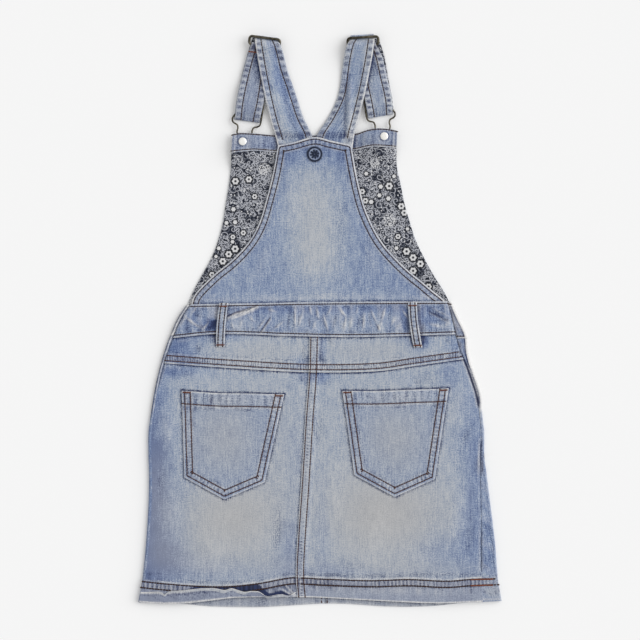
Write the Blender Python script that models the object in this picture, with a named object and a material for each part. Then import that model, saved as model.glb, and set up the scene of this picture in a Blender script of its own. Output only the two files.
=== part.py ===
# A child's pinafore dress in light-wash denim, laid face down.
# The front panels lie on the surface at z = 0 and the back panels lie on them, joined at the side seams.
# +Y runs from the hem to the shoulder straps, +X is the wearer's right. All tables are in millimetres.

import math
from collections import namedtuple

import bmesh
import bpy
from mathutils import Matrix, Vector

MM = 0.001

# --- driving sizes, mm -------------------------------------------------------------------------
SEAM_GAP = 0.3           # room left between two sewn pieces
SIDE_GAP = 0.7           # the same at the side seams, where the edges are curved
DENIM = 1.0              # one wall of denim, or of the printed lining
DOUBLE_DENIM = 1.6       # waistbands, hems and belt loops, pressed double
FOLD_HEIGHT = 4.0        # outer height of the folded side edge
LOFT = 1.6               # how much higher the back lies away from the side edges
LOFT_RUN = 28.0          # how fast it rises
GATHER_HEIGHT = 0.4      # ripples that the waist elastic leaves
GATHER_PITCH = 13.0
HEM_LOFT = 0.45          # share of that loft left at the hem
HEM_LOFT_RUN = 60.0      # and how far above the hem it is back to the whole
STRAP_ROOM = 1.8         # the back bib rises this much over the strap ends tucked under its top
STRAP_ROOM_START = 156.0 # level where that rise starts
STRAP_ROOM_RUN = 16.0
WAIST_RISE_TOP = 64.0    # level where the back bib starts to rise to the waistband
WAIST_RISE_RUN = 44.0
HEM_DEPTH = 25.0
SKIRT_LENGTH = 298.0     # from the waist seam to the front hem
POCKET_HEM = 14.0

BUTTON_RADIUS = 8.5
BUTTON_HEAD = 2.2        # thickness of the button's head
SHANK_RADIUS = 3.0
BIB_LIFT = 4.7           # the bib rides this high over its buttons
LIFT_REACH = 14.0        # flat part of that lift, measured from the button
LIFT_FADE = 24.0
TACK_RADIUS = 4.3
TACK_HEIGHT = 1.0

WIRE_RADIUS = 0.9        # dungaree clip
CLIP_HEIGHT = 3.45       # height of the clip's wire above the surface
RING_RADIUS = 1.4        # wire of the strap ring
RING_HEIGHT = 7.7        # its outer bar
RING_DEPTH = 8.6         # from the outer bar to the sewn bar, in plan
RING_DROP = 2.2          # the sewn bar lies lower than the outer bar
RING_CORNER = 3.0

BADGE_RADIUS = 8.8
BADGE_WALL = 1.0

# --- tables ------------------------------------------------------------------------------------
# One row for each level of the skirt: the folded side edges and the side seams of the back.
Level = namedtuple("Level", "y left_edge left_seam right_seam right_edge")
SKIRT = [
    Level(18, -145.5, -141.5, 140.5, 145.0),
    Level(-16, -159.8, -155.8, 148.5, 159.8),
    Level(-35, -166.2, -162.4, 155.0, 160.0),
    Level(-50, -171.2, -167.6, 160.2, 163.4),
    Level(-68, -177.5, -174.2, 167.2, 170.3),
    Level(-84, -181.8, -178.6, 172.4, 175.8),
    Level(-104, -186.4, -183.2, 175.6, 178.8),
    Level(-124, -189.0, -185.8, 177.2, 180.8),
    Level(-150, -189.0, -185.8, 176.8, 181.0),
    Level(-172, -188.3, -185.0, 176.6, 183.8),
    Level(-200, -188.8, -185.4, 177.3, 187.2),
    Level(-243, -191.5, -188.2, 177.5, 192.5),
    Level(-285, -195.7, -192.5, 177.6, 196.0),
    Level(-309, -200.0, -196.8, 178.2, 200.0),
]

# One row for each level of a bib: its two cut edges.
BibLevel = namedtuple("BibLevel", "y left right")
BACK_BIB = [
    BibLevel(193, -46.2, 34.5),
    BibLevel(162, -51.8, 39.9),
    BibLevel(128, -61.1, 49.8),
    BibLevel(109, -67.3, 57.4),
    BibLevel(93, -75.2, 65.7),
    BibLevel(79, -85.6, 75.4),
    BibLevel(64, -100.3, 89.0),
    BibLevel(53, -113.6, 100.0),
    BibLevel(42, -125.0, 112.4),
    BibLevel(31, -135.6, 125.4),
    BibLevel(24, -140.0, 134.4),
    BibLevel(18, -141.6, 139.8),
]
FRONT_BIB = [
    BibLevel(205, -96.4, 84.9),
    BibLevel(185, -97.5, 84.2),
    BibLevel(167, -98.2, 84.9),
    BibLevel(149, -100.3, 88.9),
    BibLevel(129, -103.6, 92.9),
    BibLevel(105, -107.4, 99.8),
    BibLevel(88, -112.0, 105.4),
    BibLevel(69, -119.2, 114.4),
    BibLevel(48, -130.8, 126.0),
    BibLevel(31, -139.8, 136.8),
    BibLevel(16, -146.2, 144.0),
]

# Seams and cut edges that run across the garment.
SeamPoint = namedtuple("SeamPoint", "x y")
WAIST_TOP = [SeamPoint(-143, 15.6), SeamPoint(-60, 17.0), SeamPoint(0, 18.2), SeamPoint(142, 19.0)]
WAIST_BOTTOM = [
    SeamPoint(-160, -16.8), SeamPoint(-115, -12.6), SeamPoint(-66, -13.4), SeamPoint(-48, -14.4),
    SeamPoint(30, -16.0), SeamPoint(97, -14.7), SeamPoint(148, -13.0),
]
YOKE_SEAM = [
    SeamPoint(-171, -48.4), SeamPoint(-92, -54.1), SeamPoint(-10, -58.4), SeamPoint(62, -57.2),
    SeamPoint(104, -51.4), SeamPoint(160, -43.6),
]
BACK_HEM = [
    SeamPoint(-200, -308.4), SeamPoint(-180, -311.4), SeamPoint(-153, -311.8), SeamPoint(-125, -308.6),
    SeamPoint(-97, -305.7), SeamPoint(-68, -304.8), SeamPoint(-15, -305.0), SeamPoint(28, -307.0),
    SeamPoint(75, -309.6), SeamPoint(126, -311.8), SeamPoint(168, -310.6), SeamPoint(200, -309.0),
]
FRONT_HEM = [
    SeamPoint(-200, -308.6), SeamPoint(-180, -312.8), SeamPoint(-125, -314.5), SeamPoint(-68, -314.6),
    SeamPoint(1, -313.5), SeamPoint(28, -312.5), SeamPoint(84, -314.6), SeamPoint(119, -314.2),
    SeamPoint(154, -312.2), SeamPoint(200, -309.2),
]
BACK_BIB_TOP = [
    SeamPoint(-46.2, 192.2), SeamPoint(-30, 195.4), SeamPoint(-6.2, 201.3), SeamPoint(12, 197.4),
    SeamPoint(34.5, 192.6),
]
FRONT_BIB_TOP = [
    SeamPoint(-96.4, 204.2), SeamPoint(-88, 205.6), SeamPoint(-72, 205.0), SeamPoint(-51, 203.6),
    SeamPoint(-6, 203.4), SeamPoint(40, 205.4), SeamPoint(52, 209.0), SeamPoint(64, 210.7),
    SeamPoint(75, 210.0), SeamPoint(84.9, 208.0),
]
FACING_EDGE = [
    SeamPoint(-97.5, 185.6), SeamPoint(-74, 187.8), SeamPoint(-50, 186.7), SeamPoint(-6, 187.0),
    SeamPoint(38, 189.1), SeamPoint(55, 192.6), SeamPoint(68, 192.6), SeamPoint(84, 191.0),
]

# Seams that run down the garment.
DownPoint = namedtuple("DownPoint", "y x")
CENTRE_BACK = [
    DownPoint(-14, -6.4), DownPoint(-58, -7.5), DownPoint(-110, -11.4), DownPoint(-180, -15.7),
    DownPoint(-236, -19.6), DownPoint(-280, -21.6), DownPoint(-305, -19.8),
]
CENTRE_FRONT = [DownPoint(-14, -2.0), DownPoint(-313, 5.2)]

# The largest folds of the back, lying flat on it: middle, direction in degrees, size.
Fold = namedtuple("Fold", "x y angle length width height")
FOLDS = [
    Fold(-85, 9, 22, 44, 5.0, 1.5),
    Fold(-62, -298, 4, 90, 5.0, 1.6),
    Fold(-142, -298, -4, 80, 4.5, 0.9),
    Fold(176, -158, 82, 34, 4.0, 0.9),
    Fold(60, -235, 76, 120, 12.0, 0.5),
    Fold(-120, -250, 100, 90, 12.0, 0.5),
]

# Back pockets: the four cut corners and the point.
Pocket = namedtuple("Pocket", "side top_left top_right low_left low_right point")
POCKETS = [
    Pocket("left", (-152.2, -77.6), (-39.3, -81.6), (-149.4, -173.2), (-61.0, -178.6), (-105.2, -197.4)),
    Pocket("right", (24.4, -77.9), (141.5, -75.0), (37.6, -170.6), (126.2, -175.0), (81.9, -194.6)),
]

# Belt loops: their middle line, top to bottom.
BeltLoop = namedtuple("BeltLoop", "side top middle bottom")
BELT_LOOPS = [
    BeltLoop("left", (-106.2, 17.2), (-107.6, -6.5), (-109.6, -29.0)),
    BeltLoop("right", (102.1, 18.3), (103.8, -6.5), (107.4, -30.1)),
]
BELT_LOOP_WIDTH = 9.4

# Shoulder straps, from the bib to the ring: both edges, with the height of the wall's middle.
StrapRow = namedtuple("StrapRow", "left_x left_y left_z right_x right_y right_z")
STRAP_BACK = {
    "left": [
        StrapRow(-44.5, 184.0, 3.4, -7.6, 195.5, 3.3),
        StrapRow(-49.7, 204.0, 3.5, -9.4, 205.0, 3.3),
        StrapRow(-55.0, 222.0, 4.0, -17.6, 221.5, 2.2),
        StrapRow(-59.4, 240.0, 6.6, -24.2, 241.0, 2.0),
        StrapRow(-62.6, 255.0, 6.7, -29.2, 256.0, 3.0),
        StrapRow(-66.4, 275.0, 5.4, -35.8, 275.0, 3.8),
        StrapRow(-69.2, 291.0, 6.8, -40.2, 291.0, 6.2),
        StrapRow(-71.0, 302.2, 9.2, -45.4, 299.4, 9.2),
        StrapRow(-72.0, 310.6, 5.4, -46.6, 307.4, 5.4),
    ],
    "right": [
        StrapRow(-4.6, 195.5, 3.3, 35.2, 184.0, 3.5),
        StrapRow(-3.0, 204.5, 3.3, 38.0, 204.0, 4.0),
        StrapRow(8.4, 221.5, 2.2, 42.6, 222.0, 4.0),
        StrapRow(18.0, 239.0, 2.0, 47.0, 239.0, 6.6),
        StrapRow(23.5, 256.0, 3.0, 50.8, 255.0, 6.7),
        StrapRow(26.8, 277.0, 4.4, 55.2, 277.0, 5.6),
        StrapRow(28.8, 292.0, 7.0, 57.9, 292.0, 7.0),
        StrapRow(33.2, 300.8, 9.2, 59.6, 302.6, 9.2),
        StrapRow(33.0, 308.2, 5.5, 60.2, 310.0, 5.5),
        StrapRow(33.2, 310.6, 5.0, 60.4, 312.4, 5.0),
    ],
}

# The front stretch of each strap, from the ring down to the clip: both edges.
FrontRow = namedtuple("FrontRow", "left_x left_y right_x right_y")
STRAP_FRONT = {
    "left": [
        FrontRow(-75.6, 308.2, -46.8, 304.8),
        FrontRow(-80.8, 291.0, -51.8, 289.0),
        FrontRow(-86.8, 268.0, -57.0, 265.5),
        FrontRow(-92.0, 243.0, -61.2, 239.5),
        FrontRow(-94.6, 222.5, -66.0, 218.5),
    ],
    "right": [
        FrontRow(32.2, 306.2, 62.6, 308.2),
        FrontRow(37.5, 288.0, 69.5, 289.0),
        FrontRow(43.5, 265.0, 74.6, 266.5),
        FrontRow(48.8, 241.5, 79.8, 243.0),
        FrontRow(52.2, 223.4, 80.8, 228.4),
    ],
}
STRAP_LOW = 0.5          # middle of the wall that lies on the surface
STRAP_RETURN_INSET = 0.7 # the returned end lies a little inside the strap's edges
LINING_INSET = 0.4
LINING_MIDDLE = 1.8
RETURN_SIDE_ROOM = 1.6   # room between the returned end and the ring's sides
RETURN_TAIL = 9.0        # turned back under the ring's sewn bar

# Height of the returned end, from the clip's fold up to the ring: share of the way, middle of the wall.
ReturnPoint = namedtuple("ReturnPoint", "share z")
STRAP_RETURN = [
    ReturnPoint(0.05, 3.8), ReturnPoint(0.10, 5.0), ReturnPoint(0.16, 5.5), ReturnPoint(0.35, 5.5),
    ReturnPoint(0.43, 4.7), ReturnPoint(0.53, 3.6), ReturnPoint(0.76, 3.5), ReturnPoint(0.86, 4.7),
    ReturnPoint(0.93, 6.3), ReturnPoint(1.00, 7.75),
]

# Strap rings: middle of the outer bar, its length over all and its turn in degrees.
Ring = namedtuple("Ring", "side x y length turn")
RINGS = [
    Ring("left", -60.4, 310.1, 36.4, -7.3),
    Ring("right", 47.0, 310.6, 36.4, 3.8),
]

# Bib buttons, and the turn of the clip that hooks over each.
Button = namedtuple("Button", "side x y clip_turn")
BUTTONS = [
    Button("left", -85.0, 196.2, -10.0),
    Button("right", 70.6, 202.0, 8.8),
]

# Half of the clip's bent wire, from its foot round the button up to its strap bar.
ClipPoint = namedtuple("ClipPoint", "across along")
CLIP = [
    ClipPoint(0.0, -4.6), ClipPoint(3.6, -3.0), ClipPoint(4.8, 1.0), ClipPoint(6.6, 5.5),
    ClipPoint(8.2, 10.0), ClipPoint(8.0, 14.2), ClipPoint(9.4, 17.4), ClipPoint(12.8, 18.8),
    ClipPoint(15.1, 20.6), ClipPoint(15.8, 24.0), ClipPoint(15.8, 30.0), ClipPoint(15.4, 42.0),
    ClipPoint(14.2, 45.4), ClipPoint(10.0, 46.8), ClipPoint(0.0, 47.0),
]

BADGE_PLACE = (-5.8, 182.3)


# --- reading the tables ------------------------------------------------------------------------
def mix(a, b, share):
    return a + (b - a) * share


def ease(share):
    share = min(1.0, max(0.0, share))
    return share * share * (3.0 - 2.0 * share)


def read_curve(rows, key, value, at):
    # a smooth curve through the rows, with straight ends
    points = sorted((getattr(row, key), getattr(row, value)) for row in rows)
    if at <= points[0][0]:
        low, high = points[0], points[1]
        return low[1] + (high[1] - low[1]) * (at - low[0]) / (high[0] - low[0])
    if at >= points[-1][0]:
        low, high = points[-2], points[-1]
        return high[1] + (high[1] - low[1]) * (at - high[0]) / (high[0] - low[0])
    last = len(points) - 1
    step = next(i for i in range(last) if at <= points[i + 1][0])
    before, low = points[max(step - 1, 0)], points[step]
    high, after = points[step + 1], points[min(step + 2, last)]
    run = high[0] - low[0]
    low_slope = (high[1] - before[1]) / (high[0] - before[0])
    high_slope = (after[1] - low[1]) / (after[0] - low[0])
    t = (at - low[0]) / run
    return ((2 * t ** 3 - 3 * t ** 2 + 1) * low[1] + (t ** 3 - 2 * t ** 2 + t) * run * low_slope
            + (3 * t ** 2 - 2 * t ** 3) * high[1] + (t ** 3 - t ** 2) * run * high_slope)


def down(rows, column):
    return lambda y: read_curve(rows, "y", column, y)


def across(rows):
    return lambda x: read_curve(rows, "x", "y", x)


left_edge = down(SKIRT, "left_edge")
left_seam = down(SKIRT, "left_seam")
right_seam = down(SKIRT, "right_seam")
right_edge = down(SKIRT, "right_edge")
centre_back = down(CENTRE_BACK, "x")
centre_front = down(CENTRE_FRONT, "x")
waist_top = across(WAIST_TOP)
waist_bottom = across(WAIST_BOTTOM)
yoke_seam = across(YOKE_SEAM)
back_hem = across(BACK_HEM)
front_hem = across(FRONT_HEM)
facing_edge = across(FACING_EDGE)


# --- how the cloth lies ------------------------------------------------------------------------
def fold_rise(x, y):
    rise = 0.0
    for fold in FOLDS:
        turn = math.radians(fold.angle)
        along = (x - fold.x) * math.cos(turn) + (y - fold.y) * math.sin(turn)
        aside = (y - fold.y) * math.cos(turn) - (x - fold.x) * math.sin(turn)
        reach = ease(1.0 - abs(along) / (fold.length / 2))
        rise += fold.height * reach * math.exp(-(aside / fold.width) ** 2)
    return rise


def back_lie(x, y):
    # outer face of the back cloth, without its folds
    inward = min(x - left_edge(y), right_edge(y) - x)
    loft = 1.0 - math.exp(-max(0.0, inward - FOLD_HEIGHT) / LOFT_RUN)
    at_hem = mix(HEM_LOFT, 1.0, ease((y - back_hem(x)) / HEM_LOFT_RUN))
    return FOLD_HEIGHT + LOFT * loft * at_hem


def gathers(x, y):
    # ripples of the elasticated waist, fading into the yoke
    fade = ease((y - yoke_seam(x)) / (waist_bottom(x) - yoke_seam(x)))
    wander = 1.6 * math.sin(x / 31.0)
    return GATHER_HEIGHT * fade * math.sin(2 * math.pi * (x + wander) / GATHER_PITCH)


def back_top(x, y):
    return back_lie(x, y) + fold_rise(x, y)


def waist_top_face(x, y):
    return back_top(x, y) + gathers(x, y)


def button_lift(x, y):
    lift = 0.0
    for button in BUTTONS:
        away = math.hypot(x - button.x, y - button.y)
        lift += BIB_LIFT * ease(1.0 - (away - LIFT_REACH) / LIFT_FADE)
    return lift


def bib_face(layers):
    # upper face of the front bib (1 layer) or of what is sewn on it (2 layers)
    return lambda x, y: button_lift(x, y) + layers * DENIM + (layers - 1) * SEAM_GAP


def back_bib_face(x, y):
    # the back bib lies on the lining, rises over the tucked strap ends and meets the waistband
    over_lining = bib_face(2)(x, y) + SEAM_GAP + 0.1 + DENIM
    over_straps = STRAP_ROOM * ease((y - STRAP_ROOM_START) / STRAP_ROOM_RUN)
    to_waist = ease((WAIST_RISE_TOP - y) / WAIST_RISE_RUN)
    return mix(over_lining + over_straps, back_lie(x, waist_top(x)), to_waist)


# --- building solids ---------------------------------------------------------------------------
def finish(piece, colour, roughness, metallic=0.0):
    material = bpy.data.materials.new(piece.name + "_finish")
    material.use_nodes = True
    surface = material.node_tree.nodes["Principled BSDF"]
    surface.inputs["Base Color"].default_value = (*colour, 1.0)
    surface.inputs["Roughness"].default_value = roughness
    surface.inputs["Metallic"].default_value = metallic
    piece.data.materials.append(material)
    return piece


def mesh_piece(name, vertices, faces):
    mesh = bpy.data.meshes.new(name)
    mesh.from_pydata([Vector(v) * MM for v in vertices], [], faces)
    work = bmesh.new()
    work.from_mesh(mesh)
    bmesh.ops.recalc_face_normals(work, faces=work.faces)
    work.to_mesh(mesh)
    work.free()
    piece = bpy.data.objects.new(name, mesh)
    bpy.context.collection.objects.link(piece)
    return piece


def wall_between(name, outer, inner):
    # a closed wall from two matching grids of points
    rows, columns = len(outer), len(outer[0])
    vertices = [point for line in outer for point in line] + [point for line in inner for point in line]

    def at(row, column, side=0):
        return side * rows * columns + row * columns + column

    faces = []
    for row in range(rows - 1):
        for column in range(columns - 1):
            faces.append((at(row, column), at(row + 1, column),
                          at(row + 1, column + 1), at(row, column + 1)))
            faces.append((at(row, column, 1), at(row, column + 1, 1),
                          at(row + 1, column + 1, 1), at(row + 1, column, 1)))
    rim = [(0, column) for column in range(columns - 1)]
    rim += [(row, columns - 1) for row in range(rows - 1)]
    rim += [(rows - 1, column) for column in range(columns - 1, 0, -1)]
    rim += [(row, 0) for row in range(rows - 1, 0, -1)]
    for here, there in zip(rim, rim[1:] + rim[:1]):
        faces.append((at(*here), at(*there), at(*there, 1), at(*here, 1)))
    return mesh_piece(name, vertices, faces)


def stops(count, extra=()):
    # shares from 0 to 1, with extra ones where a hem or a fold needs them
    shares = {round(i / count, 4) for i in range(count + 1)}
    shares |= {round(share, 4) for share in extra}
    return sorted(shares)


def lattice(left, right, top, bottom, across_stops, down_stops):
    # where the lines across and the lines down a panel cross, half a seam gap inside its edges
    inset = SEAM_GAP / 2
    grid = []
    for v in down_stops:
        line = []
        for u in across_stops:
            x, y = 0.0, 0.0
            for _ in range(12):
                x = mix(left(y) + inset, right(y) - inset, u)
                y = mix(top(x) - inset, bottom(x) + inset, v)
            line.append((x, y))
        grid.append(line)
    return grid


def side_to_side(top, bottom, across_stops, down_stops, left=None, right=None):
    # the same for a back panel that ends at a side seam
    room = (SIDE_GAP - SEAM_GAP) / 2
    left = left or (lambda y: left_seam(y) + room)
    right = right or (lambda y: right_seam(y) - room)
    return lattice(left, right, top, bottom, across_stops, down_stops)


def cloth_panel(name, grid, face, wall):
    # face and wall give the upper face's height and the cloth's thickness at a point
    outer = [[(x, y, face(x, y)) for x, y in line] for line in grid]
    inner = [[(x, y, face(x, y) - wall(x, y)) for x, y in line] for line in grid]
    return wall_between(name, outer, inner)


def hem_wall(edge, depth):
    return lambda x, y: DOUBLE_DENIM if y < edge(x) + depth else DENIM


# --- front -------------------------------------------------------------------------------------
def wrapped_panel(name, inner_side, side, top, bottom, wall, flat_stops, down_stops):
    # lies on the surface from its inner edge, folds over the side edge and ends at the side seam
    radius = FOLD_HEIGHT / 2
    edge, seam = (left_edge, left_seam) if side < 0 else (right_edge, right_seam)
    inset = SEAM_GAP / 2
    outer, inner = [], []
    for v in down_stops:
        outer_line, inner_line = [], []

        def place(across_at):
            x, y = 0.0, -100.0
            for _ in range(12):
                x = across_at(y)
                y = mix(top(x) - inset, bottom(x) + inset, v)
            return x, y

        for u in flat_stops:
            x, y = place(lambda y: mix(inner_side(y), edge(y) - side * radius, u))
            outer_line.append((x, y, 0.0))
            inner_line.append((x, y, wall(x, y)))
        for step in range(1, 6):
            angle = math.pi * step / 6
            x, y = place(lambda y: edge(y) - side * radius * (1.0 - math.sin(angle)))
            thin = radius - wall(x, y)
            centre = edge(y) - side * radius
            outer_line.append((centre + side * radius * math.sin(angle), y,
                               radius - radius * math.cos(angle)))
            inner_line.append((centre + side * thin * math.sin(angle), y,
                               radius - thin * math.cos(angle)))
        for share in stops(4):
            x, y = place(lambda y: mix(edge(y) - side * radius, seam(y) + side * inset, share))
            outer_line.append((x, y, back_lie(x, y)))
            inner_line.append((x, y, back_lie(x, y) - wall(x, y)))
        outer.append(outer_line)
        inner.append(inner_line)
    return wall_between(name, outer, inner)


def front_skirts():
    hem_share = HEM_DEPTH / SKIRT_LENGTH
    down_stops = stops(16, (1.0 - hem_share, 1.0 - hem_share - 0.004))
    wall = hem_wall(front_hem, HEM_DEPTH)
    inset = SEAM_GAP / 2
    left = wrapped_panel("front_skirt_left", lambda y: centre_front(y) - inset, -1,
                         waist_bottom, front_hem, wall, stops(5), down_stops)
    right = wrapped_panel("front_skirt_right", lambda y: centre_front(y) + inset, 1,
                          waist_bottom, front_hem, wall, stops(5), down_stops)
    return [left, right]


def front_waistband():
    # one band that folds over both side edges
    radius = FOLD_HEIGHT / 2
    thin = radius - DOUBLE_DENIM
    inset = SEAM_GAP / 2
    turns = [math.pi * step / 6 for step in range(1, 6)]
    sections = [("left_flap", share) for share in (1.0, 0.5, 0.0)]
    sections += [("left_turn", angle) for angle in reversed(turns)]
    sections += [("flat", share) for share in stops(10)]
    sections += [("right_turn", angle) for angle in turns]
    sections += [("right_flap", share) for share in (0.0, 0.33, 0.66, 1.0)]
    outer, inner = [], []
    for v in stops(3):
        outer_line, inner_line = [], []
        for kind, value in sections:
            side = -1 if kind.startswith("left") else 1
            edge, seam = (left_edge, left_seam) if side < 0 else (right_edge, right_seam)
            x, y = 0.0, 0.0
            for _ in range(12):
                centre = edge(y) - side * radius
                if kind == "flat":
                    x = mix(left_edge(y) + radius, right_edge(y) - radius, value)
                elif kind.endswith("turn"):
                    x = centre + side * radius * math.sin(value)
                else:
                    x = mix(centre, seam(y) + side * inset, value)
                y = mix(waist_top(x) - inset, waist_bottom(x) + inset, v)
            if kind == "flat":
                outer_line.append((x, y, 0.0))
                inner_line.append((x, y, DOUBLE_DENIM))
            elif kind.endswith("turn"):
                outer_line.append((x, y, radius - radius * math.cos(value)))
                inner_line.append((centre + side * thin * math.sin(value), y,
                                   radius - thin * math.cos(value)))
            else:
                outer_line.append((x, y, back_lie(x, y)))
                inner_line.append((x, y, back_lie(x, y) - DOUBLE_DENIM))
        outer.append(outer_line)
        inner.append(inner_line)
    return wall_between("front_waistband", outer, inner)


def bib_lattice(top, bottom, across_stops, down_stops, levels=FRONT_BIB):
    return lattice(down(levels, "left"), down(levels, "right"), top, bottom, across_stops, down_stops)


def front_bib():
    # the facing and the lining are the bib's own points, moved out
    columns = stops(12, (0.04, 0.12, 0.88, 0.96))
    facing_grid = bib_lattice(across(FRONT_BIB_TOP), facing_edge, columns, stops(3))
    lining_grid = bib_lattice(facing_edge, waist_top, columns, stops(12, (0.04, 0.12)))
    bib = cloth_panel("front_bib", facing_grid + lining_grid, bib_face(1), lambda x, y: DENIM)
    facing = cloth_panel("bib_facing", facing_grid, bib_face(2), lambda x, y: DENIM)
    lining = cloth_panel("bib_lining", lining_grid, bib_face(2), lambda x, y: DENIM)
    return [bib, facing], lining


# --- back --------------------------------------------------------------------------------------
def back_bib():
    grid = bib_lattice(across(BACK_BIB_TOP), waist_top, stops(10), stops(16), BACK_BIB)
    return cloth_panel("back_bib", grid, back_bib_face, lambda x, y: DENIM)


def back_waistband():
    grid = side_to_side(waist_top, waist_bottom, stops(66), stops(3))
    return cloth_panel("back_waistband", grid, waist_top_face, lambda x, y: DOUBLE_DENIM)


def yokes():
    rows = stops(4)
    left = side_to_side(waist_bottom, yoke_seam, stops(24), rows, right=centre_back)
    right = side_to_side(waist_bottom, yoke_seam, stops(24), rows, left=centre_back)
    return [cloth_panel("yoke_left", left, waist_top_face, lambda x, y: DENIM),
            cloth_panel("yoke_right", right, waist_top_face, lambda x, y: DENIM)]


def back_skirts():
    near_hem = (0.9, 0.915, 0.95, 0.962, 0.974, 0.986)
    rows = stops(16, near_hem)
    wall = hem_wall(back_hem, HEM_DEPTH - 1.0)
    left = side_to_side(yoke_seam, back_hem, stops(9), rows, right=centre_back)
    right = side_to_side(yoke_seam, back_hem, stops(9), rows, left=centre_back)
    return [cloth_panel("back_skirt_left", left, back_top, wall),
            cloth_panel("back_skirt_right", right, back_top, wall)]


def line_between(start, end, key):
    # a straight edge as x read from y (key 1) or y read from x (key 0)
    return lambda at: mix(start[1 - key], end[1 - key], (at - start[key]) / (end[key] - start[key]))


def back_pockets():
    pieces = []
    for pocket in POCKETS:
        left = line_between(pocket.top_left, pocket.low_left, 1)
        right = line_between(pocket.top_right, pocket.low_right, 1)
        top = line_between(pocket.top_left, pocket.top_right, 0)
        to_point = line_between(pocket.low_left, pocket.point, 0)
        from_point = line_between(pocket.point, pocket.low_right, 0)

        def bottom(x):
            return max(to_point(x), from_point(x))

        def wall_face(x, y):
            extra = DOUBLE_DENIM - DENIM if y > top(x) - POCKET_HEM else 0.0
            return back_top(x, y) + SEAM_GAP + DENIM + extra

        def wall(x, y):
            return wall_face(x, y) - back_top(x, y) - SEAM_GAP

        grid = lattice(left, right, top, bottom, stops(8), stops(8, (0.12, 0.15)))
        pieces.append(cloth_panel("back_pocket_" + pocket.side, grid, wall_face, wall))
    return pieces


def belt_loops():
    pieces = []
    half = BELT_LOOP_WIDTH / 2
    for loop in BELT_LOOPS:
        outer, inner = [], []
        for share in stops(8):
            first = Vector(loop.top).lerp(Vector(loop.middle), share)
            second = Vector(loop.middle).lerp(Vector(loop.bottom), share)
            middle = first.lerp(second, share)
            low = back_lie(middle.x, middle.y) + GATHER_HEIGHT + SEAM_GAP
            low += max(fold_rise(middle.x + aside, middle.y) for aside in (-half, 0.0, half))
            line = [(middle.x + aside, middle.y) for aside in (-half, 0.0, half)]
            outer.append([(x, y, low + DOUBLE_DENIM) for x, y in line])
            inner.append([(x, y, low) for x, y in line])
        pieces.append(wall_between("belt_loop_" + loop.side, outer, inner))
    return pieces


def badge():
    # a plain round badge sewn below the point of the back bib
    x, y = BADGE_PLACE
    angles = [2 * math.pi * i / 28 for i in range(28)]
    rim = [(x + BADGE_RADIUS * math.cos(a), y + BADGE_RADIUS * math.sin(a)) for a in angles]
    low = max(back_bib_face(*point) for point in rim) + SEAM_GAP
    vertices = [(px, py, low) for px, py in rim] + [(px, py, low + BADGE_WALL) for px, py in rim]
    count = len(rim)
    faces = [tuple(range(count)), tuple(range(count, 2 * count))]
    faces += [(i, (i + 1) % count, count + (i + 1) % count, count + i) for i in range(count)]
    return mesh_piece("badge", vertices, faces)


# --- straps ------------------------------------------------------------------------------------
def smooth_rows(rows, count):
    # a smooth run of rows through the given ones
    keys = range(len(rows))
    Step = namedtuple("Step", "at value")
    columns = [[Step(key, row[column]) for key, row in zip(keys, rows)] for column in range(len(rows[0]))]
    result = []
    for i in range(count + 1):
        at = (len(rows) - 1) * i / count
        result.append([read_curve(column, "at", "value", at) for column in columns])
    return result


def ribbon(name, rows, wall, cells=2):
    # rows are pairs of points on the two edges of the wall's middle surface, along the strap
    outer, inner = [], []
    middles = [(left + right) / 2 for left, right in rows]
    last = len(rows) - 1
    for i, (left, right) in enumerate(rows):
        ahead = middles[min(i + 1, last)] - middles[max(i - 1, 0)]
        out = ahead.cross(right - left).normalized() * (wall / 2)
        line = [left.lerp(right, cell / cells) for cell in range(cells + 1)]
        outer.append([point + out for point in line])
        inner.append([point - out for point in line])
    return wall_between(name, outer, inner)


def turn_over(start, end, outward, steps=6):
    # the rows between two levels, turning over with the strap's edges in line
    reach = (start[0] - end[0]).length / 2
    rows = []
    for step in range(1, steps):
        angle = math.pi * step / steps
        share = (1.0 - math.cos(angle)) / 2
        rows.append(tuple(a.lerp(b, share) + outward * reach * math.sin(angle)
                          for a, b in zip(start, end)))
    return rows


def row_points(left_x, left_y, left_z, right_x, right_y, right_z):
    return Vector((left_x, left_y, left_z)), Vector((right_x, right_y, right_z))


def outward_of(row):
    # in plan, square to the strap's edge-to-edge line
    along = row[1] - row[0]
    return Vector((-along.y, along.x, 0.0)).normalized()


def inset_row(row, inset):
    side = (row[1] - row[0]).normalized() * inset
    return row[0] + side, row[1] - side


def strap_back(side):
    rows = [row_points(*row) for row in smooth_rows(STRAP_BACK[side], 20)]
    top = rows[-1]
    low = tuple(Vector((point.x, point.y, STRAP_LOW)) for point in top)
    rows += turn_over(top, low, outward_of(top))
    rows.append(low)
    return ribbon("strap_back_" + side, rows, DENIM)


def front_levels(side, inset):
    flat = smooth_rows(STRAP_FRONT[side], 12)
    return [inset_row(row_points(row[0], row[1], STRAP_LOW, row[2], row[3], STRAP_LOW), inset)
            for row in flat]


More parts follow.
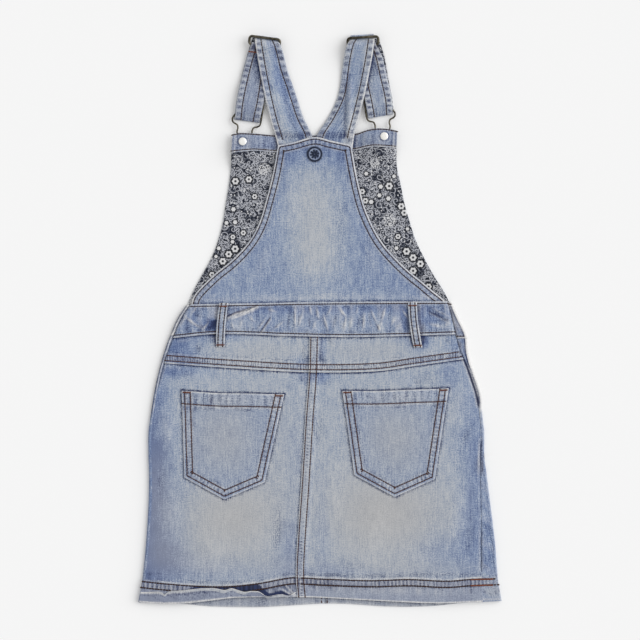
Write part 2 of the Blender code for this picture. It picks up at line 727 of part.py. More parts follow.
def strap_front(side, ring):
    # down to the clip, round its strap bar, back up and round the ring's sewn bar
    down_rows = front_levels(side, 0.0)
    outward = outward_of(down_rows[-1])
    returned = list(reversed(front_levels(side, STRAP_RETURN_INSET)))[:-1]
    bar = ring_point(ring, 0.0, -RING_DEPTH)
    bar_half = ring_point(ring, 1.0, -RING_DEPTH) - bar
    reach = ring.length / 2 - 2 * RING_RADIUS - RETURN_SIDE_ROOM
    returned[-1] = (bar - bar_half * reach, bar + bar_half * reach)
    returned[-2] = tuple(a.lerp(b, 0.5) for a, b in zip(returned[-3], returned[-1]))
    up_rows = []
    for i, row in enumerate(returned):
        share = i / (len(returned) - 1)
        z = read_curve(STRAP_RETURN, "share", "z", share)
        up_rows.append(tuple(Vector((point.x, point.y, z)) for point in row))
    lowest = tuple(Vector((point.x, point.y, up_rows[0][0].z)) for point in down_rows[-1])
    rows = down_rows + turn_over(down_rows[-1], lowest, -outward)
    rows += up_rows
    top = up_rows[-1]
    tail_z = 2 * (RING_HEIGHT - RING_DROP) - top[0].z
    under = tuple(Vector((point.x, point.y, tail_z)) for point in top)
    rows += turn_over(top, under, outward_of(top))
    rows.append(under)
    rows.append(tuple(point - outward_of(top) * RETURN_TAIL for point in under))
    return ribbon("strap_front_" + side, rows, DENIM)


def strap_lining(side):
    rows = []
    for left, right in front_levels(side, LINING_INSET):
        lift = Vector((0.0, 0.0, LINING_MIDDLE - STRAP_LOW))
        rows.append((left + lift, right + lift))
    end = rows[-1]
    rows[-1] = tuple(point.lerp(above, 0.3) for point, above in zip(end, rows[-2]))
    return ribbon("strap_lining_" + side, rows, DENIM)


# --- metal parts -------------------------------------------------------------------------------
def wire(name, points, radius):
    # a bent wire joined end to end
    curve = bpy.data.curves.new(name, "CURVE")
    curve.dimensions = "3D"
    curve.resolution_u = 1
    curve.render_resolution_u = 0
    curve.bevel_depth = radius * MM
    curve.bevel_resolution = 2
    spline = curve.splines.new("POLY")
    spline.points.add(len(points) - 1)
    for point, place in zip(spline.points, points):
        point.co = (*(Vector(place) * MM), 1.0)
    spline.use_cyclic_u = True
    piece = bpy.data.objects.new(name, curve)
    bpy.context.collection.objects.link(piece)
    return piece


def ring_point(ring, along, up):
    # a point of the ring's plane: along its outer bar, and up from it in plan
    turn = math.radians(ring.turn)
    x = ring.x + along * math.cos(turn) - up * math.sin(turn)
    y = ring.y + along * math.sin(turn) + up * math.cos(turn)
    return Vector((x, y, RING_HEIGHT + RING_DROP * up / RING_DEPTH))


def strap_ring(ring):
    half = ring.length / 2 - RING_RADIUS
    corners = [(half - RING_CORNER, -RING_CORNER, 90), (-half + RING_CORNER, -RING_CORNER, 180),
               (-half + RING_CORNER, -RING_DEPTH + RING_CORNER, 270),
               (half - RING_CORNER, -RING_DEPTH + RING_CORNER, 360)]
    points = []
    for along, up, end in corners:
        for step in range(5):
            angle = math.radians(end - 90 + 22.5 * step)
            points.append(ring_point(ring, along + RING_CORNER * math.cos(angle),
                                     up + RING_CORNER * math.sin(angle)))
    return wire("strap_ring_" + ring.side, points, RING_RADIUS)


def clip(button):
    half = smooth_rows([(p.across, p.along) for p in CLIP], 26)
    outline = half + [(-a, s) for a, s in reversed(half[1:-1])]
    turn = Matrix.Rotation(math.radians(button.clip_turn), 2)
    points = []
    for aside, along in outline:
        place = turn @ Vector((aside, along))
        points.append((button.x + place.x, button.y + place.y, CLIP_HEIGHT))
    return wire("clip_" + button.side, points, WIRE_RADIUS)


def turned(name, place, profile, segments):
    # a turned part, its profile in (radius, height) from its foot up
    vertices = [(place[0], place[1], profile[0][1]), (place[0], place[1], profile[-1][1])]
    rings = profile[1:-1]
    for radius, height in rings:
        for i in range(segments):
            angle = 2 * math.pi * i / segments
            vertices.append((place[0] + radius * math.cos(angle),
                             place[1] + radius * math.sin(angle), height))

    def at(ring, i):
        return 2 + ring * segments + i % segments

    faces = []
    for i in range(segments):
        faces.append((0, at(0, i + 1), at(0, i)))
        faces.append((1, at(len(rings) - 1, i), at(len(rings) - 1, i + 1)))
        for ring in range(len(rings) - 1):
            faces.append((at(ring, i), at(ring, i + 1), at(ring + 1, i + 1), at(ring + 1, i)))
    piece = mesh_piece(name, vertices, faces)
    piece.data.shade_smooth()
    piece.data.set_sharp_from_angle(angle=math.radians(40))
    return piece


def bib_button(button):
    rim = 0.5
    shank_top = BIB_LIFT - SEAM_GAP
    head = turned("button_" + button.side, (button.x, button.y), [
        (0.0, 0.0), (BUTTON_RADIUS - rim, 0.0), (BUTTON_RADIUS, rim),
        (BUTTON_RADIUS, BUTTON_HEAD - rim), (BUTTON_RADIUS - rim, BUTTON_HEAD),
        (SHANK_RADIUS, BUTTON_HEAD), (SHANK_RADIUS, shank_top), (0.0, shank_top)], 28)
    foot = bib_face(2)(button.x, button.y) + SEAM_GAP
    tack = turned("tack_" + button.side, (button.x, button.y), [
        (0.0, foot), (TACK_RADIUS, foot), (TACK_RADIUS, foot + 0.4),
        (TACK_RADIUS - 0.8, foot + 0.8), (TACK_RADIUS - 2.2, foot + TACK_HEIGHT),
        (0.0, foot + TACK_HEIGHT)], 24)
    return [head, tack]


# --- the dress ---------------------------------------------------------------------------------
LIGHT_DENIM = (0.31, 0.37, 0.47)
PRINT = (0.16, 0.17, 0.20)
BRONZE = (0.16, 0.13, 0.10)
NICKEL = (0.72, 0.71, 0.69)
THREAD = (0.10, 0.13, 0.22)


def build():
    for old in list(bpy.data.objects):
        bpy.data.objects.remove(old)
    denim, prints, metals, tacks = [], [], [], []
    denim += front_skirts()
    denim.append(front_waistband())
    bib_pieces, bib_lining = front_bib()
    denim += bib_pieces
    prints.append(bib_lining)
    denim.append(back_bib())
    denim.append(back_waistband())
    denim += yokes() + back_skirts() + back_pockets() + belt_loops()
    for ring in RINGS:
        denim.append(strap_back(ring.side))
        denim.append(strap_front(ring.side, ring))
        prints.append(strap_lining(ring.side))
        metals.append(strap_ring(ring))
    for button in BUTTONS:
        metals.append(clip(button))
        head, tack = bib_button(button)
        metals.append(head)
        tacks.append(tack)
    for piece in denim:
        finish(piece, LIGHT_DENIM, 0.9)
    for piece in prints:
        finish(piece, PRINT, 0.85)
    for piece in metals:
        finish(piece, BRONZE, 0.4, 1.0)
    for piece in tacks:
        finish(piece, NICKEL, 0.3, 1.0)
    finish(badge(), THREAD, 0.8)


build()
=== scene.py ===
# A child's light-wash denim pinafore dress, laid face down on a pale table.
# The front panels lie on the table and the back panels on them. +Y runs from the hem to the straps.
# Tables are in millimetres. Each piece's own sizes stand beside the code that uses them.
import math
from types import SimpleNamespace

import bpy
import numpy as np
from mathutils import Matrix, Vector
from mathutils.bvhtree import BVHTree


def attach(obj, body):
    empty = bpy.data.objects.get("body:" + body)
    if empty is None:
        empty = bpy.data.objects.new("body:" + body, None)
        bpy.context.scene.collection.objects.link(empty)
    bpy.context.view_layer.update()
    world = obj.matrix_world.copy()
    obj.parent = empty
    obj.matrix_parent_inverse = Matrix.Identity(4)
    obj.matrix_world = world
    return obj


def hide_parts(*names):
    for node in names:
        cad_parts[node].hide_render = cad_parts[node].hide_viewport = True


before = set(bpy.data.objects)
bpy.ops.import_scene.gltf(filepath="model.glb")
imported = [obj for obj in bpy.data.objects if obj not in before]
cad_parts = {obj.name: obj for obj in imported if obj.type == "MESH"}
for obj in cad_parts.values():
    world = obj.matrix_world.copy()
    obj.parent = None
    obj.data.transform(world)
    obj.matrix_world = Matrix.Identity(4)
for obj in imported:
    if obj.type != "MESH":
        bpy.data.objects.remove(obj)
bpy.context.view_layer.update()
print("frame loaded:", len(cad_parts), "nodes")

mm = 0.001
sides = ("left", "right")
signs = {"left": -1, "right": 1}
farAway = 99.0          # in mm, past the reach of any mark

# how the cloth lies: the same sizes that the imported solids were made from
lie = {
    "foldHeight": 4.0,      # outer height of the folded side edges
    "loft": 1.6,            # how much higher the back lies away from them
    "loftRun": 28.0,
    "hemLoft": 0.45,
    "hemRun": 60.0,
    "bibLift": 4.7,         # the bib rides up over its buttons
    "liftReach": 14.0,
    "liftFade": 24.0,
    "strapRoom": 1.8,
    "wall": 0.7,            # one cloth as drawn
    "lap": 0.85,            # a lapped edge lies this much higher than the cloth under it
    "lapEnd": 7.4,          # how far the centre-back lap reaches past its line
    "lapRun": 2.8,
    "hemDepth": 23.0,
    "outside": 3.9,         # what lies higher than this is on the outer side of a fold
}

# the skirt's outline: level, left fold, left side seam, right side seam, right fold
skirtSides = [
    (18, -146.2, -142, 141, 146), (2, -156.6, -152.4, 145.2, 152.8), (-16, -164.6, -160.6, 149.4, 161.4),
    (-35, -171.4, -167.6, 154.8, 163.4), (-50, -175.8, -172.2, 161.2, 167),
    (-68, -180.2, -177, 167.6, 173.2), (-84, -183.3, -180.1, 172.6, 177.8),
    (-104, -186.4, -183.2, 175.6, 178.8), (-124, -189, -185.8, 177.2, 180.8),
    (-150, -189, -185.8, 176.8, 181), (-172, -188.3, -185, 176.6, 183.8),
    (-200, -188.8, -185.4, 177.3, 187.2), (-243, -191.5, -188.2, 177.5, 192.5),
    (-285, -195.7, -192.5, 177.6, 196), (-309, -200, -196.8, 178.2, 200)]

# the bibs' cut edges: level, left, right
backBibSides = [
    (193, -46.2, 34.5), (162, -51.8, 39.9), (128, -60.5, 48), (109, -66.3, 55.4), (93, -73.9, 63.6),
    (79, -84.2, 73.4), (64, -99.2, 87.2), (53, -113, 98.8), (42, -125, 112.4), (31, -135.6, 125.4),
    (24, -140, 134.4), (18, -141.6, 139.8)]
frontBibSides = [
    (205, -96.4, 84.9), (185, -97.5, 84.2), (167, -98.2, 84.9), (149, -100.3, 88.9), (129, -103.6, 92.9),
    (105, -107.4, 99.8), (88, -112, 105.4), (69, -119.2, 114.4), (48, -130.8, 126), (31, -139.8, 136.8),
    (16, -146.2, 144)]


def ease(t):
    t = np.clip(t, 0.0, 1.0)
    return t * t * (3.0 - 2.0 * t)


def hump(distance, width):
    return np.exp(-(distance / width) ** 2)


def mix(a, b, share):
    return a + (b - a) * share


def smoothCurve(points):
    # a smooth curve through (at, value) pairs, straight past its ends, that reads whole arrays
    at, value = (np.array(column, float) for column in zip(*sorted(points)))
    slope = np.empty_like(value)
    slope[1:-1] = (value[2:] - value[:-2]) / (at[2:] - at[:-2])
    slope[0] = (value[1] - value[0]) / (at[1] - at[0])
    slope[-1] = (value[-1] - value[-2]) / (at[-1] - at[-2])

    def read(x):
        x = np.asarray(x, float)
        i = np.clip(np.searchsorted(at, x) - 1, 0, len(at) - 2)
        run = at[i + 1] - at[i]
        t = np.clip((x - at[i]) / run, 0.0, 1.0)
        inside = ((2 * t ** 3 - 3 * t ** 2 + 1) * value[i] + (t ** 3 - 2 * t ** 2 + t) * run * slope[i]
                  + (3 * t ** 2 - 2 * t ** 3) * value[i + 1] + (t ** 3 - t ** 2) * run * slope[i + 1])
        return inside + slope[0] * np.minimum(x - at[0], 0.0) + slope[-1] * np.maximum(x - at[-1], 0.0)

    return read


def column(rows, index):
    return smoothCurve([(row[0], row[index]) for row in rows])


leftFold, leftSeam, rightSeam, rightFold = (column(skirtSides, i) for i in (1, 2, 3, 4))
backBibLeft, backBibRight = column(backBibSides, 1), column(backBibSides, 2)
frontBibLeft, frontBibRight = column(frontBibSides, 1), column(frontBibSides, 2)
folds = {"left": leftFold, "right": rightFold}
seams = {"left": leftSeam, "right": rightSeam}

# seams and cut edges that run across, as (x, y)
waistTop = smoothCurve([(-143, 15.6), (-60, 17), (0, 18.2), (142, 19)])
waistBottom = smoothCurve([
    (-160, -16.8), (-115, -12.6), (-66, -13.4), (-48, -14.4), (30, -16), (97, -14.7), (148, -13)])
yokeSeam = smoothCurve([(-171, -48.4), (-92, -54.1), (-10, -58.4), (62, -57.2), (104, -51.4), (160, -43.6)])
backHem = smoothCurve([
    (-200, -310.4), (-182, -311.9), (-153, -312.2), (-125, -309.4), (-97, -305.9), (-68, -304.8),
    (-15, -305), (28, -307), (75, -309.6), (126, -311.8), (168, -310.6), (200, -309)])
frontHem = smoothCurve([
    (-200, -310.8), (-182, -312.4), (-150, -313), (-125, -315.2), (-93, -316.2), (-61, -316.1),
    (-35, -314.6), (1, -312.6), (27, -312.6), (67, -315.3), (94, -316), (126, -315), (157, -311.8),
    (200, -309.2)])
hemRow = smoothCurve([
    (-200, -287.4), (-169, -290.6), (-135, -293), (-101, -293.4), (-67, -290), (-34, -284), (-20, -283.9),
    (0, -285.1), (56, -286.9), (98, -285.7), (140, -287.5), (168, -285.4), (196, -284.8)])
backBibTop = smoothCurve([(-46.2, 192.2), (-30, 195.4), (-6.2, 201.3), (12, 197.4), (34.5, 192.6)])
frontBibTop = smoothCurve([
    (-96.4, 204.2), (-88, 205.6), (-72, 205), (-51, 203.6), (-6, 203.4), (40, 205.4), (52, 209),
    (64, 210.7), (75, 210), (84.9, 208)])
facingEdge = smoothCurve([
    (-97.5, 184.4), (-74, 186.6), (-50, 185.6), (-6, 186), (38, 187.6), (55, 190.8), (68, 191),
    (84, 189.6)])

# seams that run down, as (y, x)
centreBack = smoothCurve([
    (-14, -6.4), (-58, -7.5), (-110, -11.4), (-180, -15.7), (-236, -19.6), (-280, -21.6), (-305, -19.8)])
centreFront = smoothCurve([(-14, -2), (-313, 5.2)])

# soft creases of the back: x, y, direction in degrees, length, width, height (a trough is
# below nought)
backCreases = [
    (-85, 9, 22, 46, 3.4, 1.3), (-84, 12.5, 21, 40, 1.8, -0.9), (104, -68, -35, 24, 4, -0.5),
    (96, -66, -38, 30, 6, 0.4), (176, -158, 82, 34, 4, 0.8), (60, -235, 76, 120, 12, 0.5),
    (-120, -250, 100, 90, 12, 0.5), (-168, -120, 98, 70, 7, 0.6), (-176, -178, 84, 52, 5, -0.5),
    (-164, -214, 96, 60, 9, 0.5), (152, -92, 72, 60, 7, 0.6), (160, -128, 64, 38, 4, -0.5),
    (147, -218, 83, 84, 8, 0.6), (163, -238, 86, 60, 5, -0.5), (15, -190, 92, 90, 8, 0.4),
    (-2, -120, 88, 70, 6, -0.35), (-48, -232, 80, 70, 8, -0.35), (108, -262, 12, 60, 7, 0.4),
    (-130, -270, -6, 84, 6, 0.5), (40, -272, 5, 66, 5, -0.35), (-92, -214, 20, 40, 6, 0.3),
    (-20, -66, -14, 26, 4, -0.5), (8, -68, 30, 22, 3, -0.4), (-140, -62, -10, 40, 5, 0.4),
    (-110, -30, 4, 60, 4, 0.3), (30, -30, -5, 70, 5, 0.3), (120, -35, 28, 34, 4, 0.4),
    (140, -24, -40, 20, 3, -0.4), (10, -24, -76, 18, 3, -0.5), (-30, -36, 86, 20, 4, 0.25)]


def fromSeam(x, y, side):
    # how far inside its side seam a point lies
    return signs[side] * (seams[side](y) - x)


def past(distance):
    # a distance that counts on the far side of an edge only
    return np.where(distance > 0, distance, farAway)


def creaseRise(x, y, creases):
    rise = np.zeros_like(x)
    for cx, cy, turn, length, width, height in creases:
        cosine, sine = math.cos(math.radians(turn)), math.sin(math.radians(turn))
        along = (x - cx) * cosine + (y - cy) * sine
        aside = (y - cy) * cosine - (x - cx) * sine
        bend = 0.08 * along ** 2 / length          # no crease is quite straight
        rise += height * ease(1.0 - np.abs(along) / (length / 2)) * hump(aside - bend, width)
    return rise


def wobble(along, pitch, seed):
    # uneven beats along a line, -1 to 1
    beats = np.random.default_rng(seed).uniform(-1.0, 1.0, 512)
    at = along / pitch + 64.0
    i = np.floor(at).astype(int)
    return mix(beats[i % 512], beats[(i + 1) % 512], ease(at - i))


def patchy(x, y, sizeX, sizeY, seed):
    # uneven patches over a surface, -1 to 1
    spots = np.random.default_rng(seed).uniform(-1.0, 1.0, (97, 97))
    u, v = x / sizeX + 300.0, y / sizeY + 300.0
    i, j = np.floor(u).astype(int), np.floor(v).astype(int)
    fu, fv = ease(u - i), ease(v - j)
    low = mix(spots[i % 97, j % 97], spots[(i + 1) % 97, j % 97], fu)
    high = mix(spots[i % 97, (j + 1) % 97], spots[(i + 1) % 97, (j + 1) % 97], fu)
    return mix(low, high, fv)


def backLie(x, y):
    inward = np.minimum(x - leftFold(y), rightFold(y) - x)
    loft = 1.0 - np.exp(-np.maximum(0.0, inward - lie["foldHeight"]) / lie["loftRun"])
    atHem = mix(lie["hemLoft"], 1.0, ease((y - backHem(x)) / lie["hemRun"]))
    return lie["foldHeight"] + lie["loft"] * loft * atHem


def backBase(x, y):
    # the back skirt and yoke before their seams are added
    inward = np.minimum(x - leftFold(y), rightFold(y) - x)
    skirt = ease((-28.0 - y) / 34.0) * ease((inward - 2.0) / 16.0)
    waves = 0.34 * patchy(x, y, 52.0, 80.0, 3) + 0.16 * patchy(x, y, 19.0, 34.0, 4)
    return backLie(x, y) + creaseRise(x, y, backCreases) + skirt * waves


buttons = {"left": (-85.0, 196.2, -10.0), "right": (70.6, 202.0, 8.8)}      # x, y, turn of the clip


def buttonLift(x, y):
    lift = 0.0
    for bx, by, _ in buttons.values():
        away = np.hypot(x - bx, y - by)
        lift = lift + lie["bibLift"] * ease(1.0 - (away - lie["liftReach"]) / lie["liftFade"])
    return lift


def bibFace(layers):
    return lambda x, y: buttonLift(x, y) + layers * 1.0 + (layers - 1) * 0.3


def backBibFace(x, y):
    overLining = bibFace(2)(x, y) + 1.4
    overStraps = lie["strapRoom"] * ease((y - 156.0) / 16.0)
    return mix(overLining + overStraps, backLie(x, waistTop(x)), ease((64.0 - y) / 44.0))


# reading seams

def nearPath(path, x, y, reach=22.0):
    # how far points lie from a path, and how far along it
    flatX, flatY = x.ravel(), y.ravel()
    aside, along = np.full(flatX.shape, farAway), np.zeros(flatX.shape)
    step = np.diff(path, axis=0)
    length = np.hypot(step[:, 0], step[:, 1])
    start = np.concatenate([[0.0], np.cumsum(length)[:-1]])
    low, high = path.min(0) - reach, path.max(0) + reach
    near = np.nonzero((flatX > low[0]) & (flatX < high[0]) & (flatY > low[1]) & (flatY < high[1]))[0]
    for part in np.array_split(near, max(1, len(near) // 3000)):
        px = flatX[part][:, None] - path[:-1, 0]
        py = flatY[part][:, None] - path[:-1, 1]
        share = np.clip((px * step[:, 0] + py * step[:, 1]) / length ** 2, 0.0, 1.0)
        gap = np.hypot(px - share * step[:, 0], py - share * step[:, 1])
        best = gap.argmin(1)
        pick = np.arange(len(part)), best
        aside[part] = gap[pick]
        along[part] = start[best] + share[pick] * length[best]
    return aside.reshape(x.shape), along.reshape(x.shape)


pathStep = 3.0          # mm from point to point of a path


def runAcross(curve, low, high, drop=0.0, step=pathStep):
    x = np.linspace(low, high, max(2, int((high - low) / step)))
    return np.stack([x, curve(x) - drop], 1)


def runDown(curve, high, low, shift=0.0):
    y = np.linspace(high, low, max(2, int((high - low) / pathStep)))
    return np.stack([curve(y) + shift, y], 1)


def insetPath(path, distance):
    # the same path moved to its right-hand side, with mitred corners
    step = np.diff(path, axis=0)
    step /= np.hypot(step[:, 0], step[:, 1])[:, None]
    before = np.concatenate([step[:1], step])
    after = np.concatenate([step, step[-1:]])
    normal = np.stack([before[:, 1] + after[:, 1], -before[:, 0] - after[:, 0]], 1)
    normal /= np.hypot(normal[:, 0], normal[:, 1])[:, None]
    lean = normal[:, 0] * before[:, 1] - normal[:, 1] * before[:, 0]
    return path + normal * (distance / np.maximum(lean, 0.4))[:, None]


# what the wash leaves on the cloth, with painted light in places: rise in mm, wear (pale; also a painted
# highlight on a strap's fold), deep (indigo kept, and painted shade under laps, beside loops and straps, in
# seam gaps and stitch grooves), fade (also painted light across the back straps) and grey, all 0 to 1

def freshLook(x, fade):
    return SimpleNamespace(fade=np.full_like(x, fade),
                           **{key: np.zeros_like(x) for key in ("rise", "wear", "deep", "grey")})


def addPatches(look, x, y, **patches):
    # soft patches as listed: x, y, half width, half height, amount
    for key, places in patches.items():
        for px, py, halfX, halfY, amount in places:
            vars(look)[key] += amount * np.exp(-((x - px) / halfX) ** 2 - ((y - py) / halfY) ** 2)


def addLines(look, away, along=None, **lines):
    # lines along an edge: how far from it, width, amount, then the uneven share of it, its pitch and seed
    for key, places in lines.items():
        for at, width, amount, *uneven in places:
            line = amount * hump(away - at, width)
            if uneven:
                share, pitch, seed = uneven
                line = line * (1.0 - share + share * wobble(along, pitch, seed))
            vars(look)[key] += line


def addSeam(look, aside, along, rows, band=None, pitch=5.8, seed=1, pale=0.6, pucker=1.0, roll=0.25,
            blue=0.7):
    # a sewn edge: pale rim, stitch grooves darkened with painted shade, and blue and pale puckers across its
    # band
    low, high = band or (rows[0], rows[-1])
    middle, half = (low + high) / 2, max((high - low) / 2, 0.5)
    beat = np.cos(2 * math.pi * (along / pitch + 0.24 * wobble(along, 2.3 * pitch, seed)))
    beat = beat + 0.35 * wobble(along, pitch * 0.4, seed + 7)
    patch = 0.66 + 0.34 * wobble(along, 27.0, seed + 3)
    inBand = ease(1.45 - np.abs(aside - middle) / half) * (aside < 40)
    core = ease(1.55 - 1.35 * np.abs(aside - middle) / half) * (aside < 40)
    look.wear += inBand * (0.08 + 0.42 * pucker * patch * np.clip(-beat, 0.0, 1.0))
    look.deep += core * blue * pucker * patch * ease((beat + 0.30) / 0.9)
    look.rise += inBand * (0.16 - 0.15 * pucker * np.clip(beat, -1.0, 1.0))
    addLines(look, aside, along,
             wear=[(0.6, 0.75, pale, 0.25, 5.0, seed + 1), (high + 1.4, 0.8, 0.34, 0.4, 12.0, seed + 2)],
             deep=[(high + 3.4, 1.5, 0.24, 0.45, 8.0, seed + 4)] + [(row, 0.6, 0.4) for row in rows],
             rise=[(0, 0.7, -roll)] + [(row, 0.7, -0.26) for row in rows])


def addShadeUnderLap(look, aside, along, seed, strength=0.75):
    # painted shade on the cloth just past a lapped edge, with a little pale wear beyond it
    addLines(look, aside, along, deep=[(0.6, 1.2, strength, 0.25, 7.0, seed)])
    look.wear += 0.16 * hump(aside - 4.2, 1.5) * np.maximum(wobble(along, 5.0, seed + 5), 0.0)


def addRipples(look, ripple, pale, blue, most=None):
    # crests rub pale, and troughs keep their blue
    look.wear += pale * np.clip(ripple, 0.0, most)
    look.deep += blue * np.clip(-ripple, 0.0, most)


def addCreases(look, x, y, creases, pale, blue, rise=0.0):
    shape = creaseRise(x, y, creases)
    addRipples(look, shape, pale, blue, 1.4)
    look.rise += rise * shape


# grids

edgeSteps = (0.0, 0.5, 1.1, 1.8, 2.5, 3.2, 4.0, 4.8, 5.6, 6.4, 7.2, 8.0, 8.8, 9.8, 11.0, 12.4)


def stops(length, pitch, start=edgeSteps, end=edgeSteps):
    # lines as (share, offset): close together near the edges, then evenly spaced
    count = max(2, round((length - start[-1] - end[-1]) / pitch))
    pairs = [(0.0, s) for s in start]
    pairs += [(i / count, start[-1] * (1 - i / count) - end[-1] * i / count) for i in range(1, count)]
    pairs += [(1.0, -s) for s in reversed(end)]
    return np.array(pairs)


gridRounds = 16         # x and y of a grid depend on each other, and settle within these rounds


def lattice(left, right, top, bottom, across, down):
    shareX, offsetX = across[:, 0][None, :], across[:, 1][None, :]
    shareY, offsetY = down[:, 0][:, None], down[:, 1][:, None]
    x, y = np.zeros((len(down), len(across))), np.zeros((len(down), len(across)))
    for _ in range(gridRounds):
        x = mix(left(y), right(y), shareX) + offsetX
        y = mix(top(x), bottom(x), shareY) - offsetY
    return x, y


made = {}


def wallMesh(name, outer, inner, look, cloth, innerLook):
    # a closed cloth wall from two matching grids of points, with its wash on both faces
    rows, columns = outer.shape[:2]
    count = rows * columns
    index = np.arange(count).reshape(rows, columns)
    top = np.stack([index[:-1, :-1], index[1:, :-1], index[1:, 1:], index[:-1, 1:]], -1).reshape(-1, 4)
    under = top[:, ::-1] + count
    rim = np.concatenate([index[0, :-1], index[:-1, -1], index[-1, :0:-1], index[:0:-1, 0]])
    there = np.roll(rim, -1)
    sides = np.stack([rim, there, there + count, rim + count], -1)
    quads = np.concatenate([top, under, sides])
    mesh = bpy.data.meshes.new(name)
    mesh.vertices.add(2 * count)
    points = np.concatenate([outer.reshape(-1, 3), inner.reshape(-1, 3)]) * mm
    mesh.vertices.foreach_set("co", points.ravel())
    mesh.loops.add(quads.size)
    mesh.loops.foreach_set("vertex_index", quads.ravel())
    mesh.polygons.add(len(quads))
    mesh.polygons.foreach_set("loop_start", np.arange(0, quads.size, 4))
    mesh.update(calc_edges=True)
    mesh.polygons.foreach_set("use_smooth", np.ones(len(quads), bool))
    for key in ("wear", "deep", "fade", "grey"):
        here = vars(look)[key].ravel()
        back = np.broadcast_to(vars(innerLook)[key], (rows, columns)).ravel()
        mesh.attributes.new(key, "FLOAT", "POINT").data.foreach_set("value", np.concatenate([here, back]))
    flat = np.tile(cloth.reshape(-1, 2), (2, 1))
    mesh.uv_layers.new(name="cloth").uv.foreach_set("vector", flat[quads.ravel()].ravel())
    piece = bpy.data.objects.new(name, mesh)
    bpy.context.scene.collection.objects.link(piece)
    made[name] = piece
    return piece


insideLook = SimpleNamespace(wear=0.25, deep=0.0, fade=0.8, grey=0.35)


def panel(name, x, y, height, floor, look):
    # height and floor are the outer and inner faces before the look's rise is added
    outer, inner = np.stack([x, y, height + look.rise], -1), np.stack([x, y, floor], -1)
    return wallMesh(name, outer, inner, look, np.stack([x, y], -1), insideLook)


def sheetArea(points):
    # area of a grid of points, in square metres, and its largest width and length
    a, b = points[1:, :-1] - points[:-1, :-1], points[:-1, 1:] - points[:-1, :-1]
    area = np.linalg.norm(np.cross(a, b), axis=-1).sum() * mm * mm
    width = np.linalg.norm(np.diff(points, axis=1), axis=-1).sum(1).max() * mm
    length = np.linalg.norm(np.diff(points, axis=0), axis=-1).sum(0).max() * mm
    return area, width, length


def finishCloth(piece, node, slot, points):
    piece.data.materials.append(cloths[slot])
    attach(piece, "root")
    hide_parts(node)
    area, width, length = sheetArea(points)
    # no cut may be stated under 10 mm wide
    width, length = max(width * 1.01, 0.0101), length * 1.01      # no width is printed under 10.1 mm
    print(f"{piece.name}: {width * 1000:.0f} x {length * 1000:.0f} mm, {area * 1e4:.0f} cm2, "
          f"{len(piece.data.polygons) * 2} triangles")


def layPanel(name, node, x, y, height, floor, look, slot="denim"):
    # a panel that lies flat on others
    piece = panel(name, x, y, height, floor, look)
    finishCloth(piece, node, slot, np.stack([x, y, 0 * x], -1))
    return piece


# materials

def linear(hexColour):
    # sRGB hex to the linear colour that sockets take
    parts = [int(hexColour[i:i + 2], 16) / 255 for i in (1, 3, 5)]
    return [p / 12.92 if p <= 0.04045 else ((p + 0.055) / 1.055) ** 2.4 for p in parts] + [1.0]


def addNode(tree, kind, *values, out=0, inputs=None, colours=(), **settings):
    # one node with its settings and links; a value is a number, a vector, a hex colour or a node's output
    node = tree.nodes.new(kind if "Node" in kind else "ShaderNode" + kind)
    for key, value in settings.items():
        setattr(node, key, value)
    for key, value in [*enumerate(values), *(inputs or {}).items()]:
        if isinstance(value, bpy.types.NodeSocket):
            tree.links.new(value, node.inputs[key])
        elif isinstance(value, str) and value.startswith("#"):
            node.inputs[key].default_value = linear(value)
        elif value is not None:
            node.inputs[key].default_value = value
    for i, (place, colour) in enumerate(colours):
        element = node.color_ramp.elements[i] if i < 2 else node.color_ramp.elements.new(place)
        element.position, element.color = place, linear(colour)
    return node.outputs[out] if node.outputs else None


def startMaterial(name, roughness, specular=0.5):
    material = bpy.data.materials.new(name)
    material.use_nodes = True
    surface = material.node_tree.nodes["Principled BSDF"]
    surface.inputs["Roughness"].default_value = roughness
    surface.inputs["Specular IOR Level"].default_value = specular
    return material, material.node_tree, surface


def finishMaterial(tree, surface, colour, height, strength, distance):
    bump = addNode(tree, "Bump", out="Normal",
                   inputs={"Height": height, "Strength": strength, "Distance": distance})
    tree.links.new(bump, surface.inputs["Normal"])
    tree.links.new(colour, surface.inputs["Base Color"])


def stretched(tree, cloth, sizeX, sizeY, detail, roughness=0.5, shift=0.0):
    # noise stretched along the cloth, -0.5 to 0.5, its sizes in mm
    place = addNode(tree, "Mapping", cloth, (shift, shift, 0.0), (0, 0, 0), (1 / sizeX, 1 / sizeY, 1.0))
    noise = addNode(tree, "TexNoise", out="Fac", noise_dimensions="2D",
                    inputs={"Vector": place, "Scale": 1.0, "Detail": detail, "Roughness": roughness})
    return addNode(tree, "Math", noise, 0.5, operation="SUBTRACT")


denimLook = {      # colours, then how strongly each of the noises shows
    "indigo": "#546791", "mid": "#7b8baa", "light": "#9aa5b6", "faded": "#afb3b9",
    # kept is the navy of indigo kept and of painted shade; gap is the near black of deeper painted shade
    "grey": "#aaaaab", "rim": "#d2d1d0", "kept": "#29355a", "gap": "#171a2b",
    "slub": 0.78, "weft": 0.46, "mottle": 0.40, "yarn": 0.95, "grain": 0.30,
    "twill": 1.15,       # mm from one twill line to the next; the real 0.6 mm would not show
}


